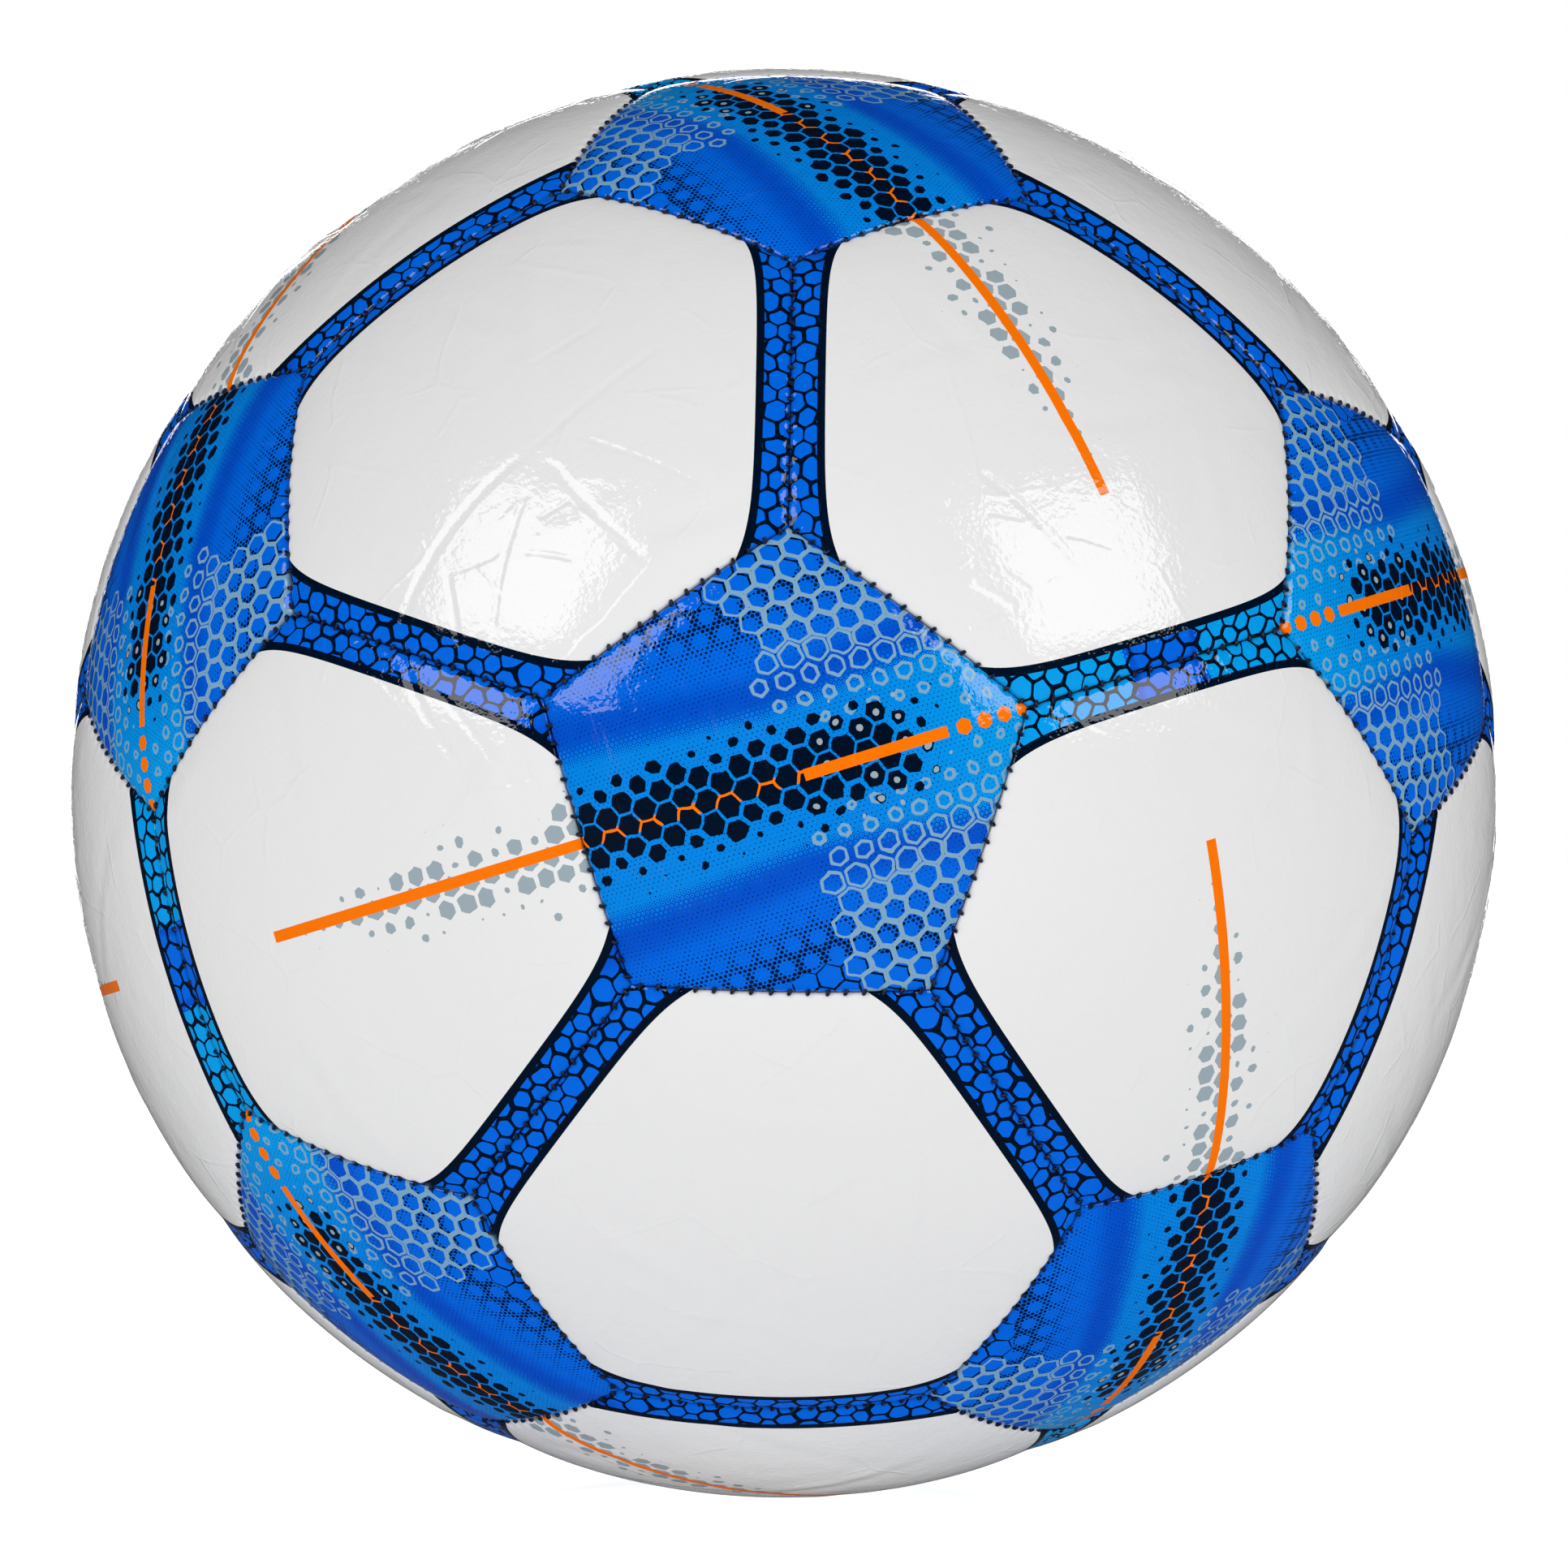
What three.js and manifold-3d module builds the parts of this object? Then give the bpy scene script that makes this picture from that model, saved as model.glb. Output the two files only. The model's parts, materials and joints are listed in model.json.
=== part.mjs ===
// A size 5 soccer ball of 32 stitched panels: 12 pentagons and 20 hexagons of laminated synthetic
// leather, sewn edge to edge round a rubber bladder with a needle valve.
// Millimetres, +Z up, origin at the ball's centre. One pentagon faces -Y with a corner pointing up.

import * as THREE from 'three';
import { mergeVertices } from 'three/addons/utils/BufferGeometryUtils.js';
import Module from 'manifold-3d';

// Driving dimensions.
const CIRCUMFERENCE = 690; // a size 5 ball measures 680 to 700
const LAMINATE = 2.6; // cover skin, foam and cloth backing together
const SEAM_GAP = 1.2; // between the side walls of two neighbouring panels
const GROOVE = 2.6; // how far the folded edge lies below the crown of a panel
const FLANGE = 2.6; // how far the turned-in seam allowance reaches below the backing
const CORNER_SHARE = 0.325; // place of a seam corner between two pentagon centres; 1/3 is regular
const EDGE_STEPS = 3; // straight steps along each panel edge
const THREAD = 0.6; // thickness of the thread line in the seam gap
const THREAD_DEPTH = 1.6; // its height along the radius
const BLADDER_WALL = 0.7;
const CLEARANCE = 0.4; // between the bladder and the cover
const VALVE_SIDE = new THREE.Vector3(-0.68, 0.68, 0.26); // the hexagon nearest this has the valve

const CROWN = CIRCUMFERENCE / (2 * Math.PI);
const BACKING = CROWN - LAMINATE; // inner face of a panel
const FLANGE_END = BACKING - FLANGE;
const WALL = SEAM_GAP / 2; // inset of a panel's side wall from the seam plane
const FLANGE_INSET = WALL + LAMINATE;
const INNER_RING = 14; // inset of the ring where the inner faces level out

// The pillow of a panel: inset from the seam and drop below the crown or, inside, below the backing.
const PILLOW = [[20, 0.1], [8, 0.4], [2.2, 1.3]];
const PILLOW_INSIDE = [[FLANGE_INSET, 0.3], [INNER_RING, 0.1]];

// Valve sizes, measured along and around the axis of its panel.
const STEM_RADIUS = 5.2;
const STEM_HOLE = STEM_RADIUS + 0.5;
const STEM_CHAMFER = 0.3;
const NEEDLE_HOLE = 1.1;
const CORE_RADIUS = 2.2;
const CORE_CHAMBER = CORE_RADIUS + 0.35;
const VALVE_FACE = CROWN - 0.5; // the flat outer face sits just under the crown
const PATCH_RADIUS = 18;
const PATCH_THICKNESS = 0.7;
const VALVE_FLANGE_RADIUS = 15;
const VALVE_FLANGE_THICKNESS = 1.0;
const TAIL_RADIUS = 3.7;
const TAIL_LENGTH = 10;
const FACE_THICKNESS = 2.2; // rubber over the core's chamber
const LIP = 1; // the ring that holds the core in at the tail's end
const NEEDLE_CHANNEL = 6; // depth of the blind channel in the core
const CORE_TIP = 1.5; // how far the core shows past the tail
const CUTTER_REACH = 8; // how far the cutting shapes run past the cover
const LATHE_STEPS = 20;
const MIN_GAP = 0.35; // between pieces that touch on the real ball

const wasm = await Module();
wasm.setup();

// Colours and finishes.
const finish = (color, roughness) => new THREE.MeshStandardMaterial({ color, roughness, metalness: 0 });
const BLUE_COVER = finish(0x0f5fe0, 0.25);
const WHITE_COVER = finish(0xf2f2f2, 0.25);
const NAVY_THREAD = finish(0x1c3a66, 0.8);
const BUTYL = finish(0x1d1d1f, 0.6);
const VALVE_RUBBER = finish(0x2a2c30, 0.55);
const CORE_RUBBER = finish(0xc8b490, 0.6);
const PATCH_CLOTH = finish(0xd9d3c3, 0.9);

// --- The 12 pentagon centres, the seam corners between them and the 32 panels --------------------

function pentagonCentres() {
  const polar = Math.atan(2); // angle between two neighbouring pentagons
  const front = [new THREE.Vector3(0, -1, 0)];
  for (let i = 0; i < 5; i++) {
    const turn = (i * 2 * Math.PI) / 5;
    const outward = Math.sin(polar);
    front.push(new THREE.Vector3(outward * Math.sin(turn), -Math.cos(polar), outward * Math.cos(turn)));
  }
  return [...front, ...front.map((c) => c.clone().negate())];
}

const neighbours = (a, b) => a !== b && a.dot(b) > 0.3;

const seamCorner = (from, to) => from.clone().lerp(to, CORNER_SHARE).normalize();

// Puts directions in counter-clockwise order round a centre, seen from outside the ball.
function sortRound(centre, directions) {
  const side = new THREE.Vector3().crossVectors(centre, directions[0]).normalize();
  const up = new THREE.Vector3().crossVectors(side, centre);
  const angle = (d) => Math.atan2(d.dot(side), d.dot(up));
  return [...directions].sort((a, b) => angle(a) - angle(b));
}

// A panel knows its centre, its corners and the inward normal of each seam plane.
function makePanel(centre, corners) {
  const sorted = sortRound(centre, corners);
  const normals = sorted.map((corner, i) => {
    const next = sorted[(i + 1) % sorted.length];
    return new THREE.Vector3().crossVectors(corner, next).normalize();
  });
  return { centre, corners: sorted, normals };
}

function pentagonPanels(centres) {
  return centres.map((c) => {
    const around = centres.filter((other) => neighbours(c, other));
    return makePanel(c, around.map((other) => seamCorner(c, other)));
  });
}

function hexagonPanels(centres) {
  const panels = [];
  centres.forEach((a, i) => {
    centres.slice(i + 1).forEach((b, j) => {
      centres.slice(i + j + 2).forEach((c) => {
        if (!neighbours(a, b) || !neighbours(b, c) || !neighbours(a, c)) return;
        const centre = a.clone().add(b).add(c).normalize();
        const pairs = [[a, b], [b, a], [b, c], [c, b], [c, a], [a, c]];
        panels.push(makePanel(centre, pairs.map(([from, to]) => seamCorner(from, to))));
      });
    });
  });
  return panels;
}

// --- Rings: the outline of a panel at a given inset from its seams and a given radius -------------

function cornerPoint(panel, i, inset, radius) {
  const sides = panel.corners.length;
  const before = panel.normals[(i + sides - 1) % sides];
  const after = panel.normals[i];
  const inward = before.clone().add(after).divideScalar(1 + before.dot(after));
  const along = Math.sqrt(radius ** 2 - inset ** 2 * inward.lengthSq());
  return inward.multiplyScalar(inset).addScaledVector(panel.corners[i], along);
}

function ring(panel, inset, radius) {
  const points = [];
  panel.corners.forEach((_, i) => {
    const shift = panel.normals[i].clone().multiplyScalar(inset);
    const start = cornerPoint(panel, i, inset, radius).sub(shift);
    const end = cornerPoint(panel, (i + 1) % panel.corners.length, inset, radius).sub(shift);
    const sweep = start.angleTo(end);
    for (let step = 0; step < EDGE_STEPS; step++) {
      const f = step / EDGE_STEPS;
      const point = start.clone().multiplyScalar(Math.sin((1 - f) * sweep) / Math.sin(sweep));
      point.addScaledVector(end, Math.sin(f * sweep) / Math.sin(sweep));
      points.push(point.add(shift));
    }
  });
  return points;
}

// --- Triangle lists and solids -------------------------------------------------------------------

function addStrip(triangles, inner, outer) {
  inner.forEach((point, i) => {
    const next = (i + 1) % inner.length;
    triangles.push(point, outer[i], outer[next], point, outer[next], inner[next]);
  });
}

function addFan(triangles, points, apex) {
  points.forEach((point, i) => triangles.push(apex, point, points[(i + 1) % points.length]));
}

const turnedOver = (triangles) => [...triangles].reverse();

function geometryOf(triangles) {
  const geometry = new THREE.BufferGeometry().setFromPoints(triangles);
  return mergeVertices(geometry, 1e-3);
}

function solidOf(source) {
  const bare = source.clone();
  bare.deleteAttribute('normal');
  bare.deleteAttribute('uv');
  const merged = mergeVertices(bare, 1e-3);
  const vertProperties = new Float32Array(merged.attributes.position.array);
  const triVerts = new Uint32Array(merged.index.array);
  return new wasm.Manifold(new wasm.Mesh({ numProp: 3, vertProperties, triVerts }));
}

function geometryOfSolid(solid) {
  const { vertProperties, triVerts } = solid.getMesh();
  const geometry = new THREE.BufferGeometry();
  geometry.setAttribute('position', new THREE.BufferAttribute(new Float32Array(vertProperties), 3));
  geometry.setIndex(new THREE.BufferAttribute(new Uint32Array(triVerts), 1));
  return geometry;
}

// A closed dish: rings from the crown out over the folded edge, down the flange and back inside.
function panelGeometry(panel) {
  const profile = [
    ...PILLOW.map(([inset, drop]) => [inset, CROWN - drop]),
    [WALL, CROWN - GROOVE],
    [WALL, FLANGE_END],
    [FLANGE_INSET, FLANGE_END],
    ...PILLOW_INSIDE.map(([inset, drop]) => [inset, BACKING - drop]),
  ];
  const rings = profile.map(([inset, radius]) => ring(panel, inset, radius));
  const triangles = [];
  addFan(triangles, rings[0], panel.centre.clone().multiplyScalar(CROWN));
  rings.slice(1).forEach((outer, i) => addStrip(triangles, rings[i], outer));
  const inside = [];
  addFan(inside, rings.at(-1), panel.centre.clone().multiplyScalar(BACKING));
  triangles.push(...turnedOver(inside));
  return geometryOf(triangles);
}

// --- Lathed pieces round the valve axis -----------------------------------------------------------

const onSphere = (radius, fromAxis) => Math.sqrt(radius ** 2 - fromAxis ** 2);

// Points of a spherical cap's profile from one distance off the axis to another.
function capProfile(radius, from, to, steps = 3) {
  const points = [];
  for (let i = 0; i <= steps; i++) {
    const r = from + ((to - from) * i) / steps;
    points.push([r, onSphere(radius, r)]);
  }
  return points;
}

// A closed profile of [distance off the axis, height] pairs, turned round the valve's axis.
function lathed(profile, axis) {
  const points = profile.map(([r, z]) => new THREE.Vector2(r, z));
  const geometry = new THREE.LatheGeometry(points, LATHE_STEPS);
  geometry.rotateX(Math.PI / 2); // the lathe turns round Y; the profile's height goes to Z
  const turn = new THREE.Quaternion().setFromUnitVectors(new THREE.Vector3(0, 0, 1), axis);
  return geometry.applyQuaternion(turn);
}

const PATCH_TOP = BACKING - MIN_GAP;
const VALVE_FLANGE_TOP = PATCH_TOP - PATCH_THICKNESS - MIN_GAP;
const VALVE_FLANGE_BASE = VALVE_FLANGE_TOP - VALVE_FLANGE_THICKNESS;
const VALVE_BED = VALVE_FLANGE_BASE - MIN_GAP; // the bladder's radius under the valve
const TAIL_END = VALVE_BED - TAIL_LENGTH;
const CHAMBER_TOP = VALVE_FACE - FACE_THICKNESS;

// The moulded rubber body: flat face, stem, flange on the bladder and a tail that holds the core.
function valveBodyGeometry(axis) {
  const profile = [
    [NEEDLE_HOLE, VALVE_FACE],
    [NEEDLE_HOLE, CHAMBER_TOP],
    [CORE_CHAMBER, CHAMBER_TOP],
    [CORE_CHAMBER, TAIL_END + LIP],
    [CORE_CHAMBER - LIP, TAIL_END + LIP],
    [CORE_CHAMBER - LIP, TAIL_END],
    [TAIL_RADIUS, TAIL_END],
    ...capProfile(VALVE_FLANGE_BASE, TAIL_RADIUS, VALVE_FLANGE_RADIUS),
    ...capProfile(VALVE_FLANGE_TOP, VALVE_FLANGE_RADIUS - 0.5, STEM_RADIUS),
    [STEM_RADIUS, VALVE_FACE - STEM_CHAMFER],
    [STEM_RADIUS - STEM_CHAMFER, VALVE_FACE],
    [NEEDLE_HOLE, VALVE_FACE],
  ];
  return lathed(profile, axis);
}

// The self-sealing core: a soft plug with a blind needle channel and a narrower tail.
function valveCoreGeometry(axis) {
  const top = CHAMBER_TOP - MIN_GAP;
  const shoulder = TAIL_END + LIP + MIN_GAP;
  const tailRadius = CORE_CHAMBER - LIP - MIN_GAP;
  const channelRadius = 0.8;
  const profile = [
    [0, top - NEEDLE_CHANNEL],
    [channelRadius, top],
    [CORE_RADIUS, top],
    [CORE_RADIUS, shoulder],
    [tailRadius, shoulder],
    [tailRadius, TAIL_END - CORE_TIP],
    [0, TAIL_END - CORE_TIP],
  ];
  return lathed([...profile].reverse(), axis);
}

// The cloth reinforcing ring bonded behind the valve hole.
function patchGeometry(axis) {
  const profile = [
    ...capProfile(PATCH_TOP, PATCH_RADIUS, STEM_HOLE),
    ...capProfile(PATCH_TOP - PATCH_THICKNESS, STEM_HOLE, PATCH_RADIUS),
    [PATCH_RADIUS, onSphere(PATCH_TOP, PATCH_RADIUS)],
  ];
  return lathed(profile, axis);
}

// The valve's panel: a round hole for the stem, and a seat that the patch lies in.
function valvePanelGeometry(panel) {
  const below = BACKING - CUTTER_REACH;
  const above = CROWN + CUTTER_REACH;
  const seatRadius = PATCH_RADIUS + MIN_GAP;
  const hole = [[0, below], [STEM_HOLE, below], [STEM_HOLE, above], [0, above]];
  const seat = [[0, below], [seatRadius, below], ...capProfile(BACKING, seatRadius, 0, 4)];
  const cutters = [hole, seat].map((profile) => solidOf(lathed(profile, panel.centre)));
  const whole = solidOf(panelGeometry(panel));
  return geometryOfSolid(cutters.reduce((solid, cutter) => solid.subtract(cutter), whole));
}

// --- The bladder and the thread, which follow every panel ----------------------------------------

const BLADDER_SEAM = FLANGE_END - 1.2; // the bladder dips under the flanges along each seam

function bladderSkin(panels, valvePanel, wall) {
  const triangles = [];
  panels.forEach((panel) => {
    const crown = (panel === valvePanel ? VALVE_BED : BACKING - CLEARANCE) - wall;
    const level = ring(panel, INNER_RING, crown - 0.1);
    addFan(triangles, level, panel.centre.clone().multiplyScalar(crown));
    addStrip(triangles, level, ring(panel, 0, BLADDER_SEAM - wall));
  });
  return solidOf(geometryOf(triangles));
}

function bladderGeometry(panels, valvePanel) {
  const neckRadius = TAIL_RADIUS + MIN_GAP;
  const below = TAIL_END - CUTTER_REACH;
  const neck = [[0, below], [neckRadius, below], [neckRadius, CROWN], [0, CROWN]];
  const shell = bladderSkin(panels, valvePanel, 0).subtract(bladderSkin(panels, valvePanel, BLADDER_WALL));
  return geometryOfSolid(shell.subtract(solidOf(lathed(neck, valvePanel.centre))));
}

// One net of thread: a flat line along each seam, joined at the 60 corners.
function threadGeometry(panels) {
  const top = CROWN - GROOVE - 0.4;
  const bottom = top - THREAD_DEPTH;
  const triangles = [];
  const edges = new Map(); // seam key -> the two panels' rows of points along it
  const hubs = new Map(); // corner key -> the three panels' points at it
  const key = (v) => v.toArray().map((x) => Math.round(x * 1e4)).join(',');
  panels.forEach((panel) => {
    const upper = ring(panel, THREAD / 2, top);
    const lower = ring(panel, THREAD / 2, bottom);
    addStrip(triangles, lower, upper);
    panel.corners.forEach((corner, i) => {
      const next = panel.corners[(i + 1) % panel.corners.length];
      const at = (points, step) => points[(i * EDGE_STEPS + step) % points.length];
      const row = Array.from({ length: EDGE_STEPS + 1 }, (_, step) => [at(upper, step), at(lower, step)]);
      const seam = [key(corner), key(next)].sort().join(' ');
      edges.set(seam, [...(edges.get(seam) ?? []), row]);
      hubs.set(key(corner), [...(hubs.get(key(corner)) ?? []), { corner, points: row[0] }]);
    });
  });
  for (const [left, right] of edges.values()) {
    for (let step = 0; step < EDGE_STEPS; step++) {
      const [a, b] = [left[step], left[step + 1]];
      const [c, d] = [right[EDGE_STEPS - step], right[EDGE_STEPS - step - 1]];
      triangles.push(b[0], a[0], c[0], b[0], c[0], d[0]);
      triangles.push(a[1], b[1], c[1], c[1], b[1], d[1]);
    }
  }
  for (const hub of hubs.values()) {
    const order = sortRound(hub[0].corner, hub.map(({ points }) => points[0]));
    const [p, q, r] = order.map((upper) => hub.find(({ points }) => points[0] === upper).points);
    triangles.push(p[0], q[0], r[0], r[1], q[1], p[1]);
  }
  return geometryOf(triangles);
}

// --- Assembly ------------------------------------------------------------------------------------

const ball = new THREE.Group();

function add(name, geometry, material) {
  const mesh = new THREE.Mesh(geometry, material);
  mesh.name = name;
  ball.add(mesh);
}

const numbered = (name, i) => `${name}_${String(i + 1).padStart(2, '0')}`;

const centres = pentagonCentres();
const pentagons = pentagonPanels(centres);
const hexagons = hexagonPanels(centres);
const towardsValve = (panel) => panel.centre.dot(VALVE_SIDE);
const byValveSide = [...hexagons].sort((a, b) => towardsValve(b) - towardsValve(a));
const valvePanel = byValveSide[0];
const plainHexagons = hexagons.filter((panel) => panel !== valvePanel);
const allPanels = [...pentagons, ...hexagons];

pentagons.forEach((panel, i) => add(numbered('panel_pentagon', i), panelGeometry(panel), BLUE_COVER));
plainHexagons.forEach((panel, i) => add(numbered('panel_hexagon', i), panelGeometry(panel), WHITE_COVER));
add('panel_hexagon_valve', valvePanelGeometry(valvePanel), WHITE_COVER);
add('seam_thread', threadGeometry(allPanels), NAVY_THREAD);
add('bladder', bladderGeometry(allPanels, valvePanel), BUTYL);
add('valve_patch', patchGeometry(valvePanel.centre), PATCH_CLOTH);
add('valve_body', valveBodyGeometry(valvePanel.centre), VALVE_RUBBER);
add('valve_core', valveCoreGeometry(valvePanel.centre), CORE_RUBBER);

export default ball;
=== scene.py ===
# %% [markdown]
# # A stitched ball of 32 panels
#
# The ball is a cover of 12 pentagons and 20 hexagons sewn edge to edge, drawn tight over a
# rubber bladder. The frame holds every piece at its true place and size as a plain solid.
# This lesson gives each piece its fine surface: the rolled edges along the seams, the stitches,
# the printed film, and the valve.
#
# The first cell loads that frame, with a helper that gives the box of any of its parts. Nothing
# made later may outgrow it.

# %% Load the frame
import itertools
import json
import math

import bpy
import numpy as np
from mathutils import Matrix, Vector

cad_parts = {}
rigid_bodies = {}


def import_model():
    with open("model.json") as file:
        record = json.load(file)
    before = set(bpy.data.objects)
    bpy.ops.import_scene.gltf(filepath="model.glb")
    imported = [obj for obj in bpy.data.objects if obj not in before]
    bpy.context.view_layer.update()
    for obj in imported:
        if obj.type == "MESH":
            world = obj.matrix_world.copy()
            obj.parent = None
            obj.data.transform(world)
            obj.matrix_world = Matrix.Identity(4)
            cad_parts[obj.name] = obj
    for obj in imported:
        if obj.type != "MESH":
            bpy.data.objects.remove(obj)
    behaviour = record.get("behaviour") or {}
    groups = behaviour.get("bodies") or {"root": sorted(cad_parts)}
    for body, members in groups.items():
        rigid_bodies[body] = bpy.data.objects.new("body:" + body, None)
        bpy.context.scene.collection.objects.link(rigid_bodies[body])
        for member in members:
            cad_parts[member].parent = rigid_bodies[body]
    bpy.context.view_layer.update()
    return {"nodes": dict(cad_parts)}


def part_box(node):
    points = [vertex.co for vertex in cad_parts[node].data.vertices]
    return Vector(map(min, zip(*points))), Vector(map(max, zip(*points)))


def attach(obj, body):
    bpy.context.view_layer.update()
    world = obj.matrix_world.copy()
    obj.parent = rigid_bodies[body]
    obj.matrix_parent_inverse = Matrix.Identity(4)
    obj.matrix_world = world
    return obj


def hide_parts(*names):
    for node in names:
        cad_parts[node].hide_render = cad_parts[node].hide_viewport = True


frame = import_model()
MM = 0.001

# %% [markdown]
# ## Where the panels lie
#
# A cover of this kind is a football's oldest pattern: every pentagon is ringed by hexagons. The
# twelve pentagon centres are the corners of an icosahedron, so they could be typed in as a table,
# but working them out from one angle keeps the layout exact. A seam corner lies almost a third
# of the way from one pentagon centre to the next.

# %% Pentagon centres
CROWN = -min(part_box(node)[0].y for node in frame["nodes"]) / MM  # radius at a panel's middle
CORNER_SHARE = 0.325


def unit(v):
    v = np.asarray(v, float)
    return v / np.linalg.norm(v, axis=-1, keepdims=True)


def pentagon_centres():
    polar = math.atan(2)  # angle between neighbouring pentagons
    turns = [math.tau * i / 5 for i in range(5)]
    aside, ahead = math.sin(polar), -math.cos(polar)
    ring = [(aside * math.sin(t), ahead, aside * math.cos(t)) for t in turns]
    front = [(0, -1, 0)] + ring
    return np.array(front + [[-v for v in c] for c in front])


CENTRES = pentagon_centres()
print("crown radius, mm:", round(CROWN, 2), "pentagons:", len(CENTRES))

# %% [markdown]
# ## Which way each print runs
#
# Each pentagon carries a stripe that crosses it, leaves over the middle of one edge and ends on
# the hexagon there. Six headings are given for the front half of the ball and the back half
# repeats them through the centre, so the ball looks varied but balanced. No stripe may end on
# the hexagon that has the valve.

# %% Headings of the stripes
HEADINGS = [
    (-1, -0.9, -0.3),
    (0.6, -0.8, 0.7),
    (1, 0.1, 0.6),
    (0.9, -1, -0.3),
    (0, -0.3, -1),
    (-0.8, -0.2, 0.9),
]


def linked(a, b):
    return 0.3 < a @ b < 0.6


def box_direction(node):
    low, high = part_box(node)
    return unit([(a + b) / 2 for a, b in zip(low, high)])


def all_linked(indices):
    pairs = itertools.combinations(indices, 2)
    return all(linked(CENTRES[a], CENTRES[b]) for a, b in pairs)


def hexagon_triples():
    """Every three pentagons that are all neighbours have a hexagon between them."""
    return [t for t in itertools.combinations(range(len(CENTRES)), 3) if all_linked(t)]


def hexagon_centre(triple):
    return unit(CENTRES[list(triple)].sum(0))


def striped_hexagons(triples):
    """The hexagon that each pentagon's stripe ends on, as an index into triples."""
    valve = box_direction("valve_body")
    ends = {}
    for i, centre in enumerate(CENTRES):
        heading = np.array(HEADINGS[i % 6]) * (1 if i < 6 else -1)
        near = [t for t, triple in enumerate(triples) if i in triple]
        near = [t for t in near if hexagon_centre(triples[t]) @ valve < 0.98]
        ends[i] = max(near, key=lambda t: hexagon_centre(triples[t]) @ heading)
    return ends


TRIPLES = hexagon_triples()
STRIPE_ENDS = striped_hexagons(TRIPLES)
print("hexagons:", len(TRIPLES), "with a stripe:", len(set(STRIPE_ENDS.values())))

# %% [markdown]
# ## One record per panel
#
# A panel is kept as its centre, its corners in counter-clockwise order, the inward normal of each
# seam plane, and two axes in its tangent plane. The first axis points along the print.

# %% Panel records
STITCH_PITCH = 2.7


def seam_corner(i, j):
    return unit((1 - CORNER_SHARE) * CENTRES[i] + CORNER_SHARE * CENTRES[j])


def make_panel(centre, corners, heading, is_hex_seam, **more):
    across = unit(heading - (heading @ centre) * centre)
    up = np.cross(centre, across)
    angles = [math.atan2(c @ up, c @ across) for c in corners]
    order = np.argsort(angles)
    corners = np.array(corners)[order]
    after = np.roll(corners, -1, axis=0)
    normals = unit(np.cross(corners, after))
    lengths = np.arccos(np.clip((corners * after).sum(1), -1, 1)) * CROWN
    stitches = [round(length / STITCH_PITCH) for length in lengths]
    return {
        "centre": centre,
        "x": across,
        "y": up,
        "corners": corners,
        "normals": normals,
        "stitches": stitches,
        "hex_seam": [is_hex_seam(a, b) for a, b in zip(corners, after)],
        **more,
    }


def pentagon_panel(i):
    around = [j for j in range(len(CENTRES)) if linked(CENTRES[i], CENTRES[j])]
    exit_hexagon = hexagon_centre(TRIPLES[STRIPE_ENDS[i]])
    corners = [seam_corner(i, j) for j in around]
    more = {"kind": "pentagon", "striped": True}
    return make_panel(CENTRES[i], corners, exit_hexagon, lambda a, b: False, **more)


def hexagon_panel(t):
    triple = TRIPLES[t]
    centre = hexagon_centre(triple)
    owners = [i for i, end in STRIPE_ENDS.items() if end == t]
    heading = CENTRES[owners[0] if owners else triple[0]]
    corners = [seam_corner(i, j) for i in triple for j in triple if i != j]

    def between_hexagons(a, b):
        middle = unit(a + b)
        return max(middle @ CENTRES[i] for i in triple) < math.cos(math.radians(20))

    more = {"kind": "hexagon", "striped": bool(owners)}
    return make_panel(centre, corners, heading, between_hexagons, **more)


PANELS = [pentagon_panel(i) for i in range(len(CENTRES))]
PANELS += [hexagon_panel(t) for t in range(len(TRIPLES))]
print("panels:", len(PANELS), "stitches per side:", PANELS[0]["stitches"], PANELS[-1]["stitches"])

# %% [markdown]
# ## The frame's node for each panel
#
# The frame names its panels in its own order. A node is matched to a panel by the direction of
# its box, which is far more than close enough: two panels are never less than 37 degrees apart.

# %% Match nodes to panels
for node in sorted(n for n in frame["nodes"] if n.startswith("panel_")):
    nearest = max(PANELS, key=lambda p: p["centre"] @ box_direction(node))
    nearest["node"] = node
VALVE_PANEL = next(p for p in PANELS if p["node"].endswith("valve"))
VALVE_AXIS = VALVE_PANEL["centre"]
print("every panel has a node:", all("node" in p for p in PANELS), "valve on", VALVE_PANEL["node"])

# %% [markdown]
# ## The rolled edge
#
# The laminate of a sewn panel is turned in at the seam and pulled down by the thread, so the
# film rolls over in a tight curve and the panel swells gently away from it. A bevel modifier
# would give the same curve everywhere; here the height is a function of the distance to each
# seam, so that it can also dip at every stitch and carry the creases of the film.

# %% Height of the film
EDGE_GAP = 0.06  # from the film's edge to the seam plane
ROLL_WIDTH, ROLL_DEPTH = 0.9, 0.42
SWELL = ((0.75, 4.0), (0.35, 14.0))  # depth at the seam and reach, twice: a near and a far one
DIMPLE_DEPTH, DIMPLE_ALONG, DIMPLE_INWARD = 0.34, 0.5, 0.9


def smooth_least(distances, softness):
    """The least of each row, rounded off where two are nearly equal."""
    least = distances.min(axis=1, keepdims=True)
    return least[:, 0] - softness * np.log(np.exp((least - distances) / softness).sum(axis=1))


def roll_drop(inset):
    t = 1 - np.clip((inset - EDGE_GAP) / ROLL_WIDTH, 0, 1)
    return ROLL_DEPTH * (1 - np.sqrt(np.clip(1 - t * t, 0, 1)))


def swell_drop(inset):
    return sum(depth * np.exp(-np.clip(inset, 0, None) / reach) for depth, reach in SWELL)


def flat_place(panel, directions):
    """Directions as places in the panel's own flat plane, in mm from its middle."""
    flat = np.stack([directions @ panel["x"], directions @ panel["y"]], axis=1)
    return flat * (CROWN / (directions @ panel["centre"]))[:, None]


def seam_distances(panel, directions):
    return CROWN * np.arcsin(np.clip(directions @ panel["normals"].T, -1, 1))


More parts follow.
